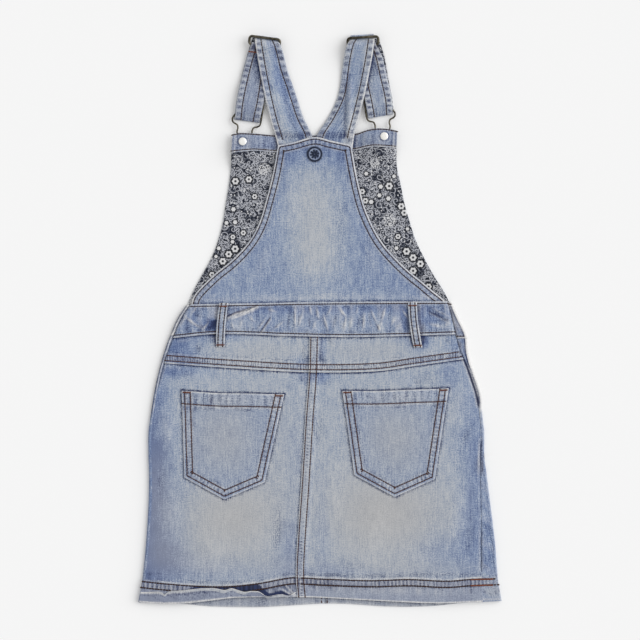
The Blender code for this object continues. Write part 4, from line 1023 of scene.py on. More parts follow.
waistSew = {
    "lowRow": 2.8, "topRow": 2.3, "over": 1.6, "under": 2.8, "fade": 0.47,
    # the patches beside the belt loops, in wash and kept, are painted shade, and the last list takes the
    # pale rub off the one left of the left loop
    "wash": [
        (-60, 0, 60, 20, -0.05), (-140, 2, 14, 18, -0.14), (-119, -6, 9, 8, -0.6), (94, 4, 8, 13, -0.4),
        (110, 4, 5, 13, -0.35), (-60, 12, 50, 5, -0.22), (0, 12, 60, 5, -0.2), (80, 13, 50, 5, -0.25),
        (-84, -6, 14, 6, 0.2), (28, -6, 10, 8, 0.22), (66, -8, 8, 7, 0.2), (124, 2, 14, 10, -0.22),
        (-30, -2, 14, 12, 0.12), (138, -6, 8, 8, 0.12)],
    "kept": [
        (-117.6, -5.4, 4, 4.4, 1), (-122.4, -8.8, 3.6, 2, 0.6), (-117, -1.6, 3.6, 1, 0.7),
        (-114.6, 8, 1.6, 7, 0.5), (-131, -6.5, 3, 1.8, 0.5), (108.4, 12, 2, 5, 0.7),
        (109.6, 0, 2.2, 7, 0.6), (112.2, -9, 2.6, 5, 0.9), (96.6, -4, 2.6, 8, 0.4),
        (126, 6.4, 5, 1.8, 0.35), (138.5, 0, 5, 1.6, 0.35)],
    "noWearInShade": [(-117.4, -5.4, 4.6, 5.0, -1.0)],
}
# gathers that the elastic leaves: x, y, direction, length, width, height
waistCreases = [
    (-140, -2.6, -37, 25, 2, 0.7), (-138.6, 10.3, 56, 11, 1.8, 0.5), (-125.3, -6.5, 50, 12, 1.7, 0.7),
    (-117, -5, 60, 17, 3.6, -0.8), (-132, 4, -20, 14, 2.2, -0.5), (-96, -6, -72, 10, 1.6, 0.5),
    (-86.5, -4.5, 77, 14, 1.7, 0.5), (-74.8, 1.2, -45, 12, 1.6, 0.5), (-59.4, -4.4, 57, 19, 1.3, -1),
    (-63.6, -4.6, 54, 17, 1.6, 0.7), (-45, -5.8, 39, 17, 1.7, 0.6), (-52, 10.3, -16, 11, 1.6, 0.5),
    (-35, 0, 85, 21, 2.3, -0.6), (-27.1, 0.8, -87, 26, 1.5, 0.8), (-20.5, 2, 74, 24, 1.5, 0.6),
    (-24, -1, 80, 18, 1.4, -0.5), (-10.2, 11, -82, 11, 1.4, 0.7), (-2.5, 7.8, -79, 16, 1.5, 0.8),
    (-12, -4, 88, 14, 2, -0.5), (-6, -6, 70, 12, 1.5, 0.5), (6.6, -3.3, -75, 20, 1.5, 0.9),
    (10.8, 10.3, 66, 13, 1.4, 0.6), (15.4, -2.3, 80, 20, 2.3, -0.6), (24.9, 8.5, -53, 14, 1.5, 0.8),
    (27.8, -4.4, 82, 16, 1.5, 0.8), (34.4, -4, 79, 16, 1.5, 0.5), (41, 10.6, 80, 9, 1.5, 0.4),
    (42, -3.7, 85, 19, 2, -0.5), (48.4, -1.6, 86, 22, 1.6, 0.8), (54, 2, -80, 18, 1.8, -0.5),
    (59.6, 3.6, -66, 18, 1.5, 0.7), (65, -8.2, -66, 10, 1.6, 0.8), (70.1, 6.4, 76, 19, 1.6, 0.8),
    (66.2, -7, 69, 12, 1.6, 0.8), (76, 6, 75, 14, 1.8, -0.6), (81, -1, 67, 12, 1.5, 0.6),
    (93.3, 7.1, -56, 14, 1.6, 0.5), (87, -6.5, 45, 10, 1.5, 0.4), (89, 1, -60, 14, 1.8, -0.4),
    (130, 4.4, -27, 28, 2.8, -0.9), (132.5, 8.4, -26, 25, 1.8, 0.35), (128, -6, -14, 18, 2.6, 0.5),
    (140, -4, 60, 12, 2, 0.4), (-150, 0, 62, 20, 2, 0.5), (-146, -9, 30, 12, 1.8, -0.4),
    (-85, 6, 20.3, 42, 2.2, 0.8), (-86, 9.4, 20.3, 46, 1.5, -2), (-104, 4, 40, 14, 1.8, 0.5)]

# folds pressed sharp into it, and the strength of each
waistFolds = [([(-101.8, 4.2), (-92.5, 8.4), (-80.5, 11.6), (-69.4, 16)], 1.3),
              ([(-65.2, -12.4), (-60.4, -5.4), (-55.2, 2.2)], 0.9),
              ([(119.5, 9.2), (130.5, 4), (142, -2.4)], 0.3)]


def waistHeight(x, y):
    fromLow = y - waistBottom(x) + waistSew["under"]
    return backLie(x, y) + 1.45 + feltStrip(x, y) * ease((11.0 - fromLow) / 6.0)


def makeBackWaistband():
    x, y = lattice(lambda y: leftSeam(y) + 0.3, lambda y: rightSeam(y) - 0.3,
                   lambda x: waistTop(x) + waistSew["over"], lambda x: waistBottom(x) - waistSew["under"],
                   stops(290, 1.0), stops(36, 1.1, start=edgeSteps[:12], end=edgeSteps[:12]))
    look = freshLook(x, waistSew["fade"])
    addPatches(look, x, y, fade=waistSew["wash"], deep=waistSew["kept"], wear=waistSew["noWearInShade"])
    fromLow, fromTop = y - waistBottom(x) + waistSew["under"], waistTop(x) + waistSew["over"] - y
    free = ease((fromLow - 2.4) / 3.0) * ease((fromTop - 2.0) / 3.0)
    creases = [(cx, cy, turn, length * 1.3, width * 0.62, height)
               for cx, cy, turn, length, width, height in waistCreases]
    # crests are pale; a copy shifted to the right paints shade on each crest's left flank, away from the
    # light
    shape, shadedFlank = creaseRise(x, y, creases), creaseRise(x + 1.5, y, creases)
    look.wear += free * 0.90 * np.clip(shape, 0, 1.2)
    look.deep += free * (0.60 * np.clip(-shape, 0, 1.4) + 0.55 * np.clip(shadedFlank - 0.6 * shape, 0, 1.0))
    # each fold: painted shade in its trough and a pale crest just below it
    for fold, strength in waistFolds:
        addLines(look, nearPath(np.array(fold), x, y)[0], deep=[(0, 0.62, strength)],
                 rise=[(0, 0.9, -0.5 * strength)])
        addLines(look, nearPath(np.array(fold) + (0.7, -1.7), x, y)[0], wear=[(0, 0.9, 0.55 * strength)],
                 rise=[(0, 1.2, 0.5 * strength)])
    # the elastic leaves fine ripples at the top and broader waves below them
    high = hump(fromTop - 6.0, 4.5)
    ripple = wobble(x + 2.0 * wobble(y, 9.0, 7), 1.9, 111) * (0.5 + 0.5 * patchy(x, y, 16, 9, 8))
    wave = wobble(x + 3.5 * wobble(y, 11.0, 17) + 0.2 * y, 5.2, 112) + 0.5 * patchy(x, y, 5.0, 7.0, 18)
    addRipples(look, ripple, free * (0.14 + 0.24 * high), free * (0.12 + 0.26 * high))
    addRipples(look, wave, free * 0.22, free * 0.20)
    look.rise += free * (0.62 * shape + 0.18 * ripple + 0.25 * wave)
    addSeam(look, fromLow, x, (waistSew["lowRow"],), (0.8, 2.2), 3.6, 121, 0.8, 0.5)
    addSeam(look, fromTop, x, (waistSew["topRow"],), (0.8, 2.0), 3.0, 131, 0.75, 0.6)
    # the side seams' grooves, drawn dark as painted shade
    addLines(look, np.minimum(fromSeam(x, y, "left"), fromSeam(x, y, "right")), deep=[(0, 1.0, 0.5)],
             rise=[(0, 1.6, -0.8)])
    # painted shade beside each belt loop
    for loop in beltLoops.values():
        addLines(look, nearPath(np.array(loop), x, y)[0], deep=[(5.6, 1.6, 0.55)])
    layPanel("backWaistband", "back_waistband", x, y, waistHeight(x, y), backLie(x, y) + 0.2, look)


beltLoops = {
    "left": [(-105.6, 18.6), (-109.4, -4.5), (-109.6, -29.6)],
    "right": [(101.6, 19.4), (101.8, -4), (107.8, -30.2)],
}
beltLoopSew = {"width": 9.8, "row": 2.3, "seeds": {"left": 141, "right": 151}}


def loopMiddle(side, share):
    top, middle, bottom = (np.array(point) for point in beltLoops[side])
    bent = mix(top, middle, share[:, None]), mix(middle, bottom, share[:, None])
    return mix(bent[0], bent[1], share[:, None])


def loopHeight(x, y):
    onBand = ease((y - waistBottom(x) + 8.5) / 6.0)
    return backBase(x, y) + mix(1.7, 3.7, onBand)


def makeBeltLoop(side):
    share = np.linspace(0.0, 1.0, 44)
    middle = loopMiddle(side, share)
    across = np.array([-4.6, -4.2, -3.6, -2.9, -2.2, -1.5, -0.7, 0.0, 0.7, 1.5, 2.2, 2.9, 3.6, 4.2, 4.6])
    x = middle[:, :1] + across * beltLoopSew["width"] / 9.2
    y = middle[:, 1:] + 0 * x
    look = freshLook(x, 0.62)
    along = np.abs(y - y[0])
    addSeam(look, np.minimum(x - x[:, :1], x[:, -1:] - x), along, (beltLoopSew["row"],), (3.0, 4.6), 5.2,
            beltLoopSew["seeds"][side], 0.8, 0.8, 0.35)
    addLines(look, np.minimum(along, along.max() - along), wear=[(0, 1.1, 0.5)], rise=[(0, 1.0, -0.7)])
    height = loopHeight(x, y)
    layPanel("beltLoop" + side.title(), "belt_loop_" + side, x, y, height, height - 1.15, look)


# back bib

bibSew = {
    "rows": (2.3, 7.5), "pitch": 1.75, "fade": 0.44,
    "wash": [
        (-6, 118, 32, 46, 0.46), (-4, 66, 30, 34, 0.36), (-16, 150, 20, 22, 0.14), (-6, 186, 40, 13, -0.26),
        (-92, 46, 26, 16, 0.1), (0, 26, 90, 5, 0.16), (46, 116, 12, 46, -0.06), (-52, 110, 10, 40, 0.03),
        (24, 176, 8, 14, -0.12), (-36, 174, 8, 16, -0.12)],
    "grey": [(-8, 100, 30, 56, 0.12)],
}
bibCreases = [
    (116, 26, -24, 22, 1.5, 0.7), (120, 29.5, -30, 20, 1.4, -0.6), (108, 23.5, -12, 20, 1.4, 0.5),
    (-118, 27, 22, 22, 1.6, 0.5), (-104, 24, 12, 20, 1.5, -0.4), (-30, 130, 92, 90, 7, 0.3),
    (22, 112, 88, 110, 7, -0.3), (-62, 64, 74, 60, 6, 0.35), (58, 66, 104, 56, 6, 0.3),
    (-10, 60, 90, 60, 5, 0.3), (10, 28, 4, 60, 3, 0.3), (-60, 26, -3, 50, 2.6, 0.3),
    (76, 30, 6, 40, 4, -0.3), (-20, 176, 96, 24, 3, -0.4), (20, 170, 84, 28, 3, -0.3),
    (-40, 172, 100, 20, 2.4, 0.3), (-6, 160, 90, 30, 5, 0.25), (36, 150, 80, 40, 4, 0.3)]


def bibOutline():
    # up the left side, over the peaked top and down the right side
    left = runDown(backBibLeft, 190.4, 14.0)[::-1]
    top = runAcross(backBibTop, -44.4, 32.8, 0.2, 2.4)
    return np.concatenate([left, top, runDown(backBibRight, 190.6, 14.0)])


def makeBackBib():
    x, y = lattice(backBibLeft, backBibRight, backBibTop, lambda x: waistTop(x) - 5.0,
                   stops(180, bibSew["pitch"]), stops(186, bibSew["pitch"], end=edgeSteps[:13]))
    look = freshLook(x, bibSew["fade"])
    addPatches(look, x, y, fade=bibSew["wash"], grey=bibSew["grey"])
    aside, along = nearPath(bibOutline(), x, y, 14.0)
    addSeam(look, aside, along, bibSew["rows"], pitch=5.6, seed=161, pale=0.85, pucker=0.8, roll=0.4)
    addLines(look, aside, wear=[(0.9, 0.7, 0.3)])
    addCreases(look, x, y, bibCreases, 0.30, 0.30, 0.8)
    above = y - waistTop(x) - waistSew["over"]
    addShadeUnderLap(look, past(above), x, 43, 0.85)
    addLines(look, above, x, wear=[(4.5, 2.0, 0.2, 0.4, 14, 44)])
    look.rise += ease((aside - 8.0) / 14.0) * ease((above - 3) / 12) * (
        0.30 * patchy(x, y, 38, 60, 9) + 0.12 * patchy(x, y, 13, 24, 10))
    face = backBibFace(x, y)
    layPanel("backBib", "back_bib", x, y, face, face - lie["wall"], look)


# front bib, its facing and its printed lining

frontBibSteps = (0.0, 1.0, 2.4, 6.0)


def fromBibSide(x, y):
    return np.minimum(x - frontBibLeft(y), frontBibRight(y) - x)


def makeFrontBib():
    x, y = lattice(frontBibLeft, frontBibRight, frontBibTop, lambda x: waistTop(x) - 0.3,
                   stops(190, 4.0, frontBibSteps, frontBibSteps), stops(186, 4.0, frontBibSteps, (0.0, 2.0)))
    look = freshLook(x, 0.5)
    addSeam(look, np.minimum(fromBibSide(x, y), frontBibTop(x) - y), y, (6.5,), (2.0, 6.0), 6.0, 171)
    look.rise *= 0.0         # its outer side is pressed on the table
    layPanel("frontBib", "front_bib", x, y, bibFace(1)(x, y), buttonLift(x, y), look)


facingSew = {"row": 1.3, "turning": 5.8, "under": 0.6, "fade": 0.31}


def backStrapEdge(side):
    # the outer edge of the back stretch, in plan
    first = {"left": 0, "right": 3}[side]
    return np.array([row[first:first + 2] for row in strapBack[side]])


def makeFacing():
    x, y = lattice(frontBibLeft, frontBibRight, frontBibTop, lambda x: facingEdge(x) - facingSew["under"],
                   stops(181, 1.5), stops(18, 1.2, edgeSteps[:6], edgeSteps[:6]))
    look = freshLook(x, facingSew["fade"])
    addPatches(look, x, y, fade=[(-78, 196, 9, 8, 0.06), (52, 200, 8, 8, 0.18)],
               grey=[(-70, 196, 30, 12, 0.25), (60, 196, 30, 12, 0.25)])
    # painted shade along the edges of the back straps that lie over the facing
    for side in strapBack:
        addLines(look, nearPath(backStrapEdge(side), x, y)[0], deep=[(0.4, 2.2, 0.85), (6, 6, 0.12)])
    fromLow, fromTop = y - facingEdge(x) + facingSew["under"], frontBibTop(x) - y
    fromSide = fromBibSide(x, y)
    addSeam(look, fromLow, x, (facingSew["row"] + facingSew["under"],), (0.3, 1.0), 4.0, 181, 0.6, 0.4)
    addLines(look, fromSide, wear=[
        (3.4, 1, 0.45), (0.5, 0.8, 0.3)], rise=[(facingSew["turning"], 0.8, -0.3)],
             deep=[(facingSew["turning"], 0.9, 0.55), (1.5, 0.6, 0.4)])
    addLines(look, fromTop, wear=[(1.0, 0.9, 0.35)], deep=[(0.1, 0.7, 0.4)])
    crease = wobble(x, 2.7, 183) + 0.5 * wobble(x, 6.0, 184)
    addRipples(look, crease, 0.26 * ease((fromSide - 5) / 4), 0.24)
    look.rise += 0.16 * crease * ease((fromSide - 4) / 4) * ease(fromLow / 3)
    face = bibFace(2)(x, y) + 0.1
    for bx, by, _ in buttons.values():
        addLines(look, np.hypot(x - bx, y - by), deep=[(5.0, 0.9, 0.55)], wear=[(7.0, 1.0, 0.15)])
    layPanel("bibFacing", "bib_facing", x, y, face, face - 0.5, look)


# blooms of the print, where they show beside the back bib: x, y, radius
blooms = [
    (-93.5, 78.4, 4.1), (-100.6, 72.5, 3.8), (-107.1, 64.7, 3.9), (-95.4, 122, 2.6), (-103, 107, 2.3),
    (-93.5, 107.7, 2.5), (-111.6, 79, 2.3), (-93.2, 152.9, 3.9), (-78.4, 155, 3.6), (-61.3, 166.1, 7.6),
    (-114.6, 70, 2), (-96.4, 86.2, 2.2), (-84.5, 96, 3), (-119, 50, 3.2), (-72, 136, 3), (-96, 91.5, 2.8),
    (76.2, 147.6, 4.1), (89.6, 125.4, 3.7), (93, 118.2, 3.6), (95.4, 75.6, 4.1), (102.6, 68.8, 3.9),
    (110.6, 61.9, 4), (102.6, 54.2, 3.9), (119.6, 36.8, 3.6), (66.9, 147, 2.6), (65.4, 137.4, 2.4),
    (56.4, 130.2, 2.6), (75.4, 133.9, 2.6), (51, 161.3, 2.3), (76.4, 110, 8.4), (60.5, 172, 6.4),
    (46.6, 141.6, 3.2), (50, 131.4, 3.3), (81.6, 158.4, 2.2), (96.4, 100.4, 2), (84.2, 79.2, 2.3),
    (112, 84, 3), (86, 92, 3), (94, 148, 3.2)]
bloomLook = {"seed": 5, "daisy": 3.9, "head": 8.0, "spread": 46.0, "edge": 2.6}


def sowBlooms(mesh, cloth, quads):
    # each face keeps the middle and size of the bloom nearest to it, on the flat cloth
    rng = np.random.default_rng(bloomLook["seed"])
    low, high = cloth.min(0), cloth.max(0)
    sown = list(blooms)
    for gx in np.arange(low[0], high[0], bloomLook["spread"]):
        for gy in np.arange(low[1], high[1], bloomLook["spread"]):
            mx, my = gx + rng.uniform(-9, 9), gy + rng.uniform(-10, 10)
            group = [(mx, my, bloomLook["head"] * rng.uniform(0.8, 1.1))]
            turn = rng.uniform(0, 2 * math.pi)
            group += [(mx + 17 * math.cos(turn + 0.5 * k), my + 17 * math.sin(turn + 0.5 * k),
                       bloomLook["daisy"] * rng.uniform(0.85, 1.1)) for k in range(4)]
            sown += [b for b in group if min(math.hypot(b[0] - s[0], b[1] - s[1]) for s in blooms) > 26]
    sown = np.array(sown)
    corners = cloth[quads]
    middles = corners.mean(1)
    away = np.hypot(middles[:, None, 0] - sown[:, 0], middles[:, None, 1] - sown[:, 1]) - sown[:, 2]
    best = away.argmin(1)
    near = away[np.arange(len(best)), best] < bloomLook["edge"]
    local = np.concatenate([corners - sown[best][:, None, :2], np.repeat(sown[best][:, None, 2:], 4, 1)], -1)
    local[~near] = (90.0, 90.0, 1.0)
    kept = mesh.attributes.new("bloom", "FLOAT_VECTOR", "CORNER")
    kept.data.foreach_set("vector", local.astype(np.float32).ravel())


def addBlooms(piece):
    mesh = piece.data
    quads = np.zeros(len(mesh.loops), int)
    mesh.loops.foreach_get("vertex_index", quads)
    flat = np.zeros(len(mesh.loops) * 2)
    mesh.uv_layers["cloth"].uv.foreach_get("vector", flat)
    flat = flat.reshape(-1, 2)
    cloth = np.zeros((len(mesh.vertices), 2))
    cloth[quads] = flat
    sowBlooms(mesh, cloth, quads.reshape(-1, 4))


def makeLining():
    x, y = lattice(frontBibLeft, frontBibRight, lambda x: facingEdge(x) + 3.0, lambda x: waistTop(x) - 0.4,
                   stops(190, 2.1, edgeSteps[:10], edgeSteps[:10]),
                   stops(172, 2.1, edgeSteps[:5], edgeSteps[:5]))
    look = freshLook(x, 0.0)
    fromSide = fromBibSide(x, y)
    addLines(look, fromSide, rise=[(0, 0.7, -0.35), (5.2, 0.8, -0.22)])
    look.rise += 0.18 * wobble(y, 3.0, 191) * hump(fromSide - 3, 2.5)
    look.rise += 0.25 * patchy(x, y, 30, 46, 11) * ease((fromSide - 6) / 8)
    addBlooms(layPanel("bibLining", "bib_lining", x, y, bibFace(2)(x, y) - 0.5, bibFace(1)(x, y) + 0.05,
                       look, "print"))


# front skirt and front waistband: on the table, folded over the side edges, sewn to the back on top

foldSteps = 13          # points round a folded edge


def foldedGrid(side, innerSide, top, bottom, wall, flat, flap, down):
    # outer and inner faces, from the inner side round the fold to the side seam
    radius, sign = lie["foldHeight"] / 2, signs[side]
    turn = np.linspace(0.0, math.pi, foldSteps)[1:-1]
    share = np.concatenate([np.linspace(0, 1, flat), 0 * turn, np.linspace(0, 1, flap)])[None]
    angle = np.concatenate([np.zeros(flat), turn, np.full(flap, math.pi)])[None]
    onTable, onBack = angle < 0.01, angle > 3.13
    y = np.full((len(down), share.size), -100.0)
    x = 0 * y + innerSide(y)
    for _ in range(gridRounds):
        middle = folds[side](y) - sign * radius
        x = np.where(onBack, mix(middle, seams[side](y), share), middle + sign * radius * np.sin(angle))
        x = np.where(onTable, mix(innerSide(y), middle, share), x)
        y = mix(top(x), bottom(x), down[:, :1]) - down[:, 1:]
    thin = radius - wall(x, y)
    z = np.where(onBack, backBase(x, y), radius - radius * np.cos(angle))
    innerX = np.where(onTable | onBack, x, middle + sign * thin * np.sin(angle))
    innerZ = np.where(onBack, z - wall(x, y), radius - thin * np.cos(angle))
    outer, inner = np.stack([x, y, z], -1), np.stack([innerX, y, innerZ], -1)
    run = np.linalg.norm(np.diff(outer, axis=1), axis=-1)
    cloth = np.stack([x[:, :1] + sign * np.concatenate([0 * run[:, :1], np.cumsum(run, 1)], 1), y], -1)
    if side == "right":
        outer, inner, cloth = outer[:, ::-1], inner[:, ::-1], cloth[:, ::-1]
    return outer, inner, cloth


frontSkirt = {
    "fade": {"left": 0.30, "right": 0.42}, "hemWall": 1.25,
    "flap": {"left": 7, "right": 18}, "seeds": {"left": 201, "right": 211},
    # the patch at x -196 darkens the left fold as painted shade, where it turns away from the light
    "wash": [
        (168, -70, 9, 36, 0.5), (164, -36, 8, 10, -0.3), (190, -260, 12, 60, -0.1),
        (182, -140, 8, 40, -0.12), (192, -300, 14, 8, 0.15), (-196, -200, 8, 90, -0.24),
        (181, -281, 6, 3, 0.3)],
    "grey": [(192, -298, 18, 12, 0.45), (-198, -280, 8, 40, 0.25), (172, -80, 9, 34, 0.6)],
    "kept": [
        (153.4, -27, 2.6, 4, 0.7), (180.4, -150, 1.2, 2.6, 0.9), (178.6, -163, 1, 6, 0.9),
        (181, -299, 2.2, 1.4, 0.5), (187.5, -301.5, 1.6, 1.8, 0.4), (193, -300, 1.6, 1.4, 0.45),
        (197, -297.5, 1.2, 1.6, 0.4), (182, -272, 3, 2, 0.35)],
}


def markFold(look, x, y, side, seed, shown=1.0):
    # the fold rubs pale, and the seam beside it is drawn dark as painted shade in its gap
    fromFold, away = np.abs(x - folds[side](y)), np.abs(fromSeam(x, y, side))
    # lower down the folds keep less of their pale rim, the left one least, so that it stays dark as painted
    # shade
    rubbed = np.where(y > -75, 1.0, {"left": 0.12, "right": 0.5}[side])
    pale = 0.35 * np.minimum(shown, 1) * (0.5 + 0.5 * wobble(y, 5, seed + 1))
    addLines(look, fromFold, y, wear=[(0.6, 1.3, 0.42 * rubbed, 0.3, 6, seed)])
    look.wear += pale * rubbed * hump(away - 1.8, 1.0)
    look.deep += shown * (0.55 * hump(away, 1.0) + 0.2 * hump(fromFold - 2.8, 1.2))
    if side == "right":       # near the waist the front shows, with its own pale edge and the line beside it
        waist = ease((y + 54) / 6)
        look.deep += waist * hump(fromFold - 3.4, 0.9)
        look.wear += waist * ease((2.9 - fromFold) / 0.8)
        look.wear += 0.75 * ease((y + 104) / 8) * ease((-44 - y) / 6) * ease((2.6 - fromFold) / 0.8)
    else:       # near the waist the left fold is drawn dark in uneven dashes, with a pale line just inside
        waist = ease((y + 118) / 24)
        look.wear *= 1.0 - 0.6 * waist * hump(fromFold, 3.0)
        addLines(look, fromFold, y, deep=[(0.2, 1.0, 1.7 * waist, 0.3, 2.0, 206)],
                 wear=[(2.3, 0.6, 0.45 * waist)])
    look.rise -= 0.55 * np.minimum(shown, 1) * hump(away, 1.2)
    inward = ease(fromFold / 3)
    addRipples(look, wobble(y + 0.7 * np.abs(x), 5.5, seed + 2), 0.20 * inward, 0.16 * inward)


def frontWaist(x):
    # on the front the waistband comes lower beside the right seam
    return waistBottom(x) - 7.5 * ease((x - 146.0) / 6.0)


def makeFrontSkirt(side):
    outer, inner, cloth = foldedGrid(
        side, centreFront, frontWaist, frontHem,
        lambda x, y: mix(frontSkirt["hemWall"], lie["wall"], ease((y - frontHem(x) - 22.0) / 2.0)),
        44, frontSkirt["flap"][side], stops(298, 2.3, (0.0, 2.0)))
    x, y = outer[..., 0], outer[..., 1]
    look = freshLook(x, frontSkirt["fade"][side])
    addPatches(look, x, y, fade=frontSkirt["wash"], grey=frontSkirt["grey"], deep=frontSkirt["kept"])
    markFold(look, x, y, side, frontSkirt["seeds"][side], seamShown(y, side))
    fromEdge = lie["hemDepth"] + y - hemRow(x)
    addSeam(look, fromEdge, x, hemSew["rows"], pitch=3.9, seed=62, pucker=0.8, roll=0.0)
    outer[..., 2] += np.where(outer[..., 2] > lie["outside"], look.rise, 0.0)
    inside = freshLook(x, 0.40)
    inside.grey += 0.50
    up, streak = y - frontHem(x), wobble(x, 1.7, 68)
    inside.wear = 0.30 * hump(up - 0.4, 1.0) + 0.26 * np.maximum(streak, 0)
    # a painted shadow just below the back hem's edge, and the cloth darker higher up
    inside.deep = 0.30 * np.maximum(-streak, 0) + 0.55 * hump(y - backHem(x) + 0.3, 0.9) + 0.25 * (up > 12)
    piece = wallMesh("frontSkirt" + side.title(), outer, inner, look, cloth, inside)
    finishCloth(piece, "front_skirt_" + side, "denim", outer)


def makeFrontWaistband():
    halves = [foldedGrid(side, lambda y: 0 * y - 1.0, lambda x: waistTop(x) + 1.0, frontWaist,
                         lambda x, y: 1.5 + 0 * x, 36, flap, stops(33, 1.8, edgeSteps[:8], edgeSteps[:8]))
              for side, flap in (("right", 10), ("left", 6))]
    outer, inner, cloth = (np.concatenate([right, left[:, 1:]], 1) for right, left in zip(*halves))
    x, y = outer[..., 0], outer[..., 1]
    look = freshLook(x, 0.40)
    look.grey += 0.25
    addPatches(look, x, y, fade=[(149, -5, 5, 7, -0.5)], deep=[
        (149, -9, 2.6, 4.5, 0.55), (145.4, 0, 1.6, 3, 1.5), (144.6, 7, 1.6, 4.6, 0.7)])
    for side, seed in (("left", 220), ("right", 222)):
        markFold(look, x, y, side, seed)
    edge = np.minimum(waistTop(x) + 1.0 - y, y - frontWaist(x))
    addSeam(look, edge, x, (2.6,), (0.8, 2.4), 3.2, 231, 0.8, 0.7)
    outer[..., 2] += np.where(outer[..., 2] > lie["outside"], look.rise + 0.5, 0.0)
    piece = wallMesh("frontWaistband", outer, inner, look, cloth, insideLook)
    finishCloth(piece, "front_waistband", "denim", outer)


# shoulder straps and their metal: both edges, with the height of the cloth's middle

strapBack = {
    "left": [
        (-44.5, 184, 3.4, -7.6, 195.5, 3.3), (-49.7, 204, 3.5, -9.4, 205, 3.3),
        (-55, 222, 4, -17.6, 221.5, 2.2), (-59.4, 240, 6.6, -24.2, 241, 2),
        (-62.6, 255, 6.7, -29.2, 256, 3), (-66.4, 275, 5.4, -35.8, 275, 3.8),
        (-69.2, 291, 6.8, -39.8, 291, 6.2), (-70.6, 300.6, 9.2, -42, 298.4, 9.2),
        (-71.4, 304.8, 8.7, -43.6, 302.4, 8.8), (-72, 310.6, 5.4, -46, 307.4, 5.4)],
    "right": [
        (-4.6, 195.5, 3.3, 35.2, 184, 3.5), (-3, 204.5, 3.3, 38, 204, 4), (7.8, 221.5, 1.6, 42.6, 222, 4),
        (16.8, 239, 1.2, 47, 239, 6.6), (21.8, 255.8, 1.6, 50.8, 255, 6.7),
        (24.4, 276.6, 2.8, 55.2, 277, 5.6), (26.8, 291.4, 6, 57.9, 292, 7),
        (29, 299.6, 9.2, 59.2, 301.6, 9.2), (30.4, 303.6, 8.8, 59.8, 305.4, 8.8),
        (33, 308.2, 5.5, 60.2, 310, 5.5), (33.2, 310.6, 5, 60.4, 312.4, 5)],
}
strapFront = {    # both edges, in plan
    "left": [
        (-74.4, 311.8, -45.8, 308.2), (-80.8, 291, -51.8, 289), (-86.8, 268, -57, 265.5),
        (-92, 243, -61.2, 239.5), (-94.6, 222.5, -66, 218.5)],
    "right": [
        (31.2, 309.8, 61.8, 311.6), (37.5, 288, 69.5, 289), (43.5, 265, 74.6, 266.5),
        (48.8, 241.5, 79.8, 243), (52.2, 223.4, 80.8, 228.4)],
}
strapReturn = smoothCurve([
    (0.05, 3.8), (0.1, 5), (0.16, 5.5), (0.35, 5.5), (0.43, 4.7), (0.53, 3.6), (0.76, 3.5), (0.86, 4.7),
    (0.93, 6.3), (1, 7.75)])
strapLie = {"low": 0.5, "inset": 0.7, "lining": 1.8, "wall": 0.9, "tail": 9.0, "clear": 1.6}
rings = {"left": (-60.4, 310.1, 36.4, -7.3), "right": (47.0, 310.6, 36.4, 3.8)}     # x, y, length, turn
ringLook = {"wire": 1.4, "height": 7.7, "depth": 8.6, "drop": 2.2, "corner": 3.0}
strapSew = {
    "row": 7.0, "band": (0.5, 6.3), "fade": 0.55, "returned": 0.42,
    # how far apart the puckers are, and the seeds of their unevenness
    "back": {"puckers": 7.9, "left": 242, "right": 253},
    "front": {"puckers": 6.7, "left": 243, "right": 254},
    # the front stretch: what is added to its fade and grey, and the levels of the painted shade by the ring
    # and of the dark band by the clip
    "ends": {"left": (-0.11, 0.3, 299, 221), "right": (0.14, 0.16, 302, 226)},
}


def smoothRows(rows, count):
    at = np.linspace(0, len(rows) - 1, count)
    return np.stack([smoothCurve(list(enumerate(values)))(at) for values in zip(*rows)], 1)


def ringPoint(side, along, up):
    # a point of the ring's plane: along its outer bar, and up from it in plan
    x, y, _, turn = rings[side]
    cosine, sine = math.cos(math.radians(turn)), math.sin(math.radians(turn))
    return np.array([x + along * cosine - up * sine, y + along * sine + up * cosine,
                     ringLook["height"] + ringLook["drop"] * up / ringLook["depth"]])


def outwardOf(row):
    # in plan, square to the line from edge to edge
    along = row[1] - row[0]
    return np.array([-along[1], along[0], 0.0]) / np.hypot(along[0], along[1])


def turnOver(start, end, outward):
    # the rows between two levels, turning over with the strap's edges in line
    reach = np.linalg.norm(start[0] - end[0]) / 2
    angles = np.linspace(0.0, math.pi, foldSteps)[1:-1, None, None]
    return start + (end - start) * (1 - np.cos(angles)) / 2 + outward * reach * np.sin(angles)


def atLevel(rows, level):
    rows = rows.copy()
    rows[..., 2] = level
    return rows


def ribbonFaces(rows, wall, across):
    # outer and inner faces, and how far each point is from either edge and along the strap
    left, right = rows[:, 0], rows[:, 1]
    side = right - left
    width = np.linalg.norm(side, axis=1, keepdims=True)
    share, offset = across[None, :, :1], across[None, :, 1:]
    grid = left[:, None] + side[:, None] * share + (side / width)[:, None] * offset
    out = np.cross(np.gradient((left + right) / 2, axis=0), side)
    out = (out / np.linalg.norm(out, axis=1, keepdims=True))[:, None] + 0 * grid
    fromLeft = np.linalg.norm(grid - left[:, None], axis=-1)
    run = np.linalg.norm(np.diff((left + right) / 2, axis=0), axis=1)
    along = np.concatenate([[0.0], np.cumsum(run)])[:, None] + 0 * fromLeft
    return grid, out * wall / 2, fromLeft, width - fromLeft, along


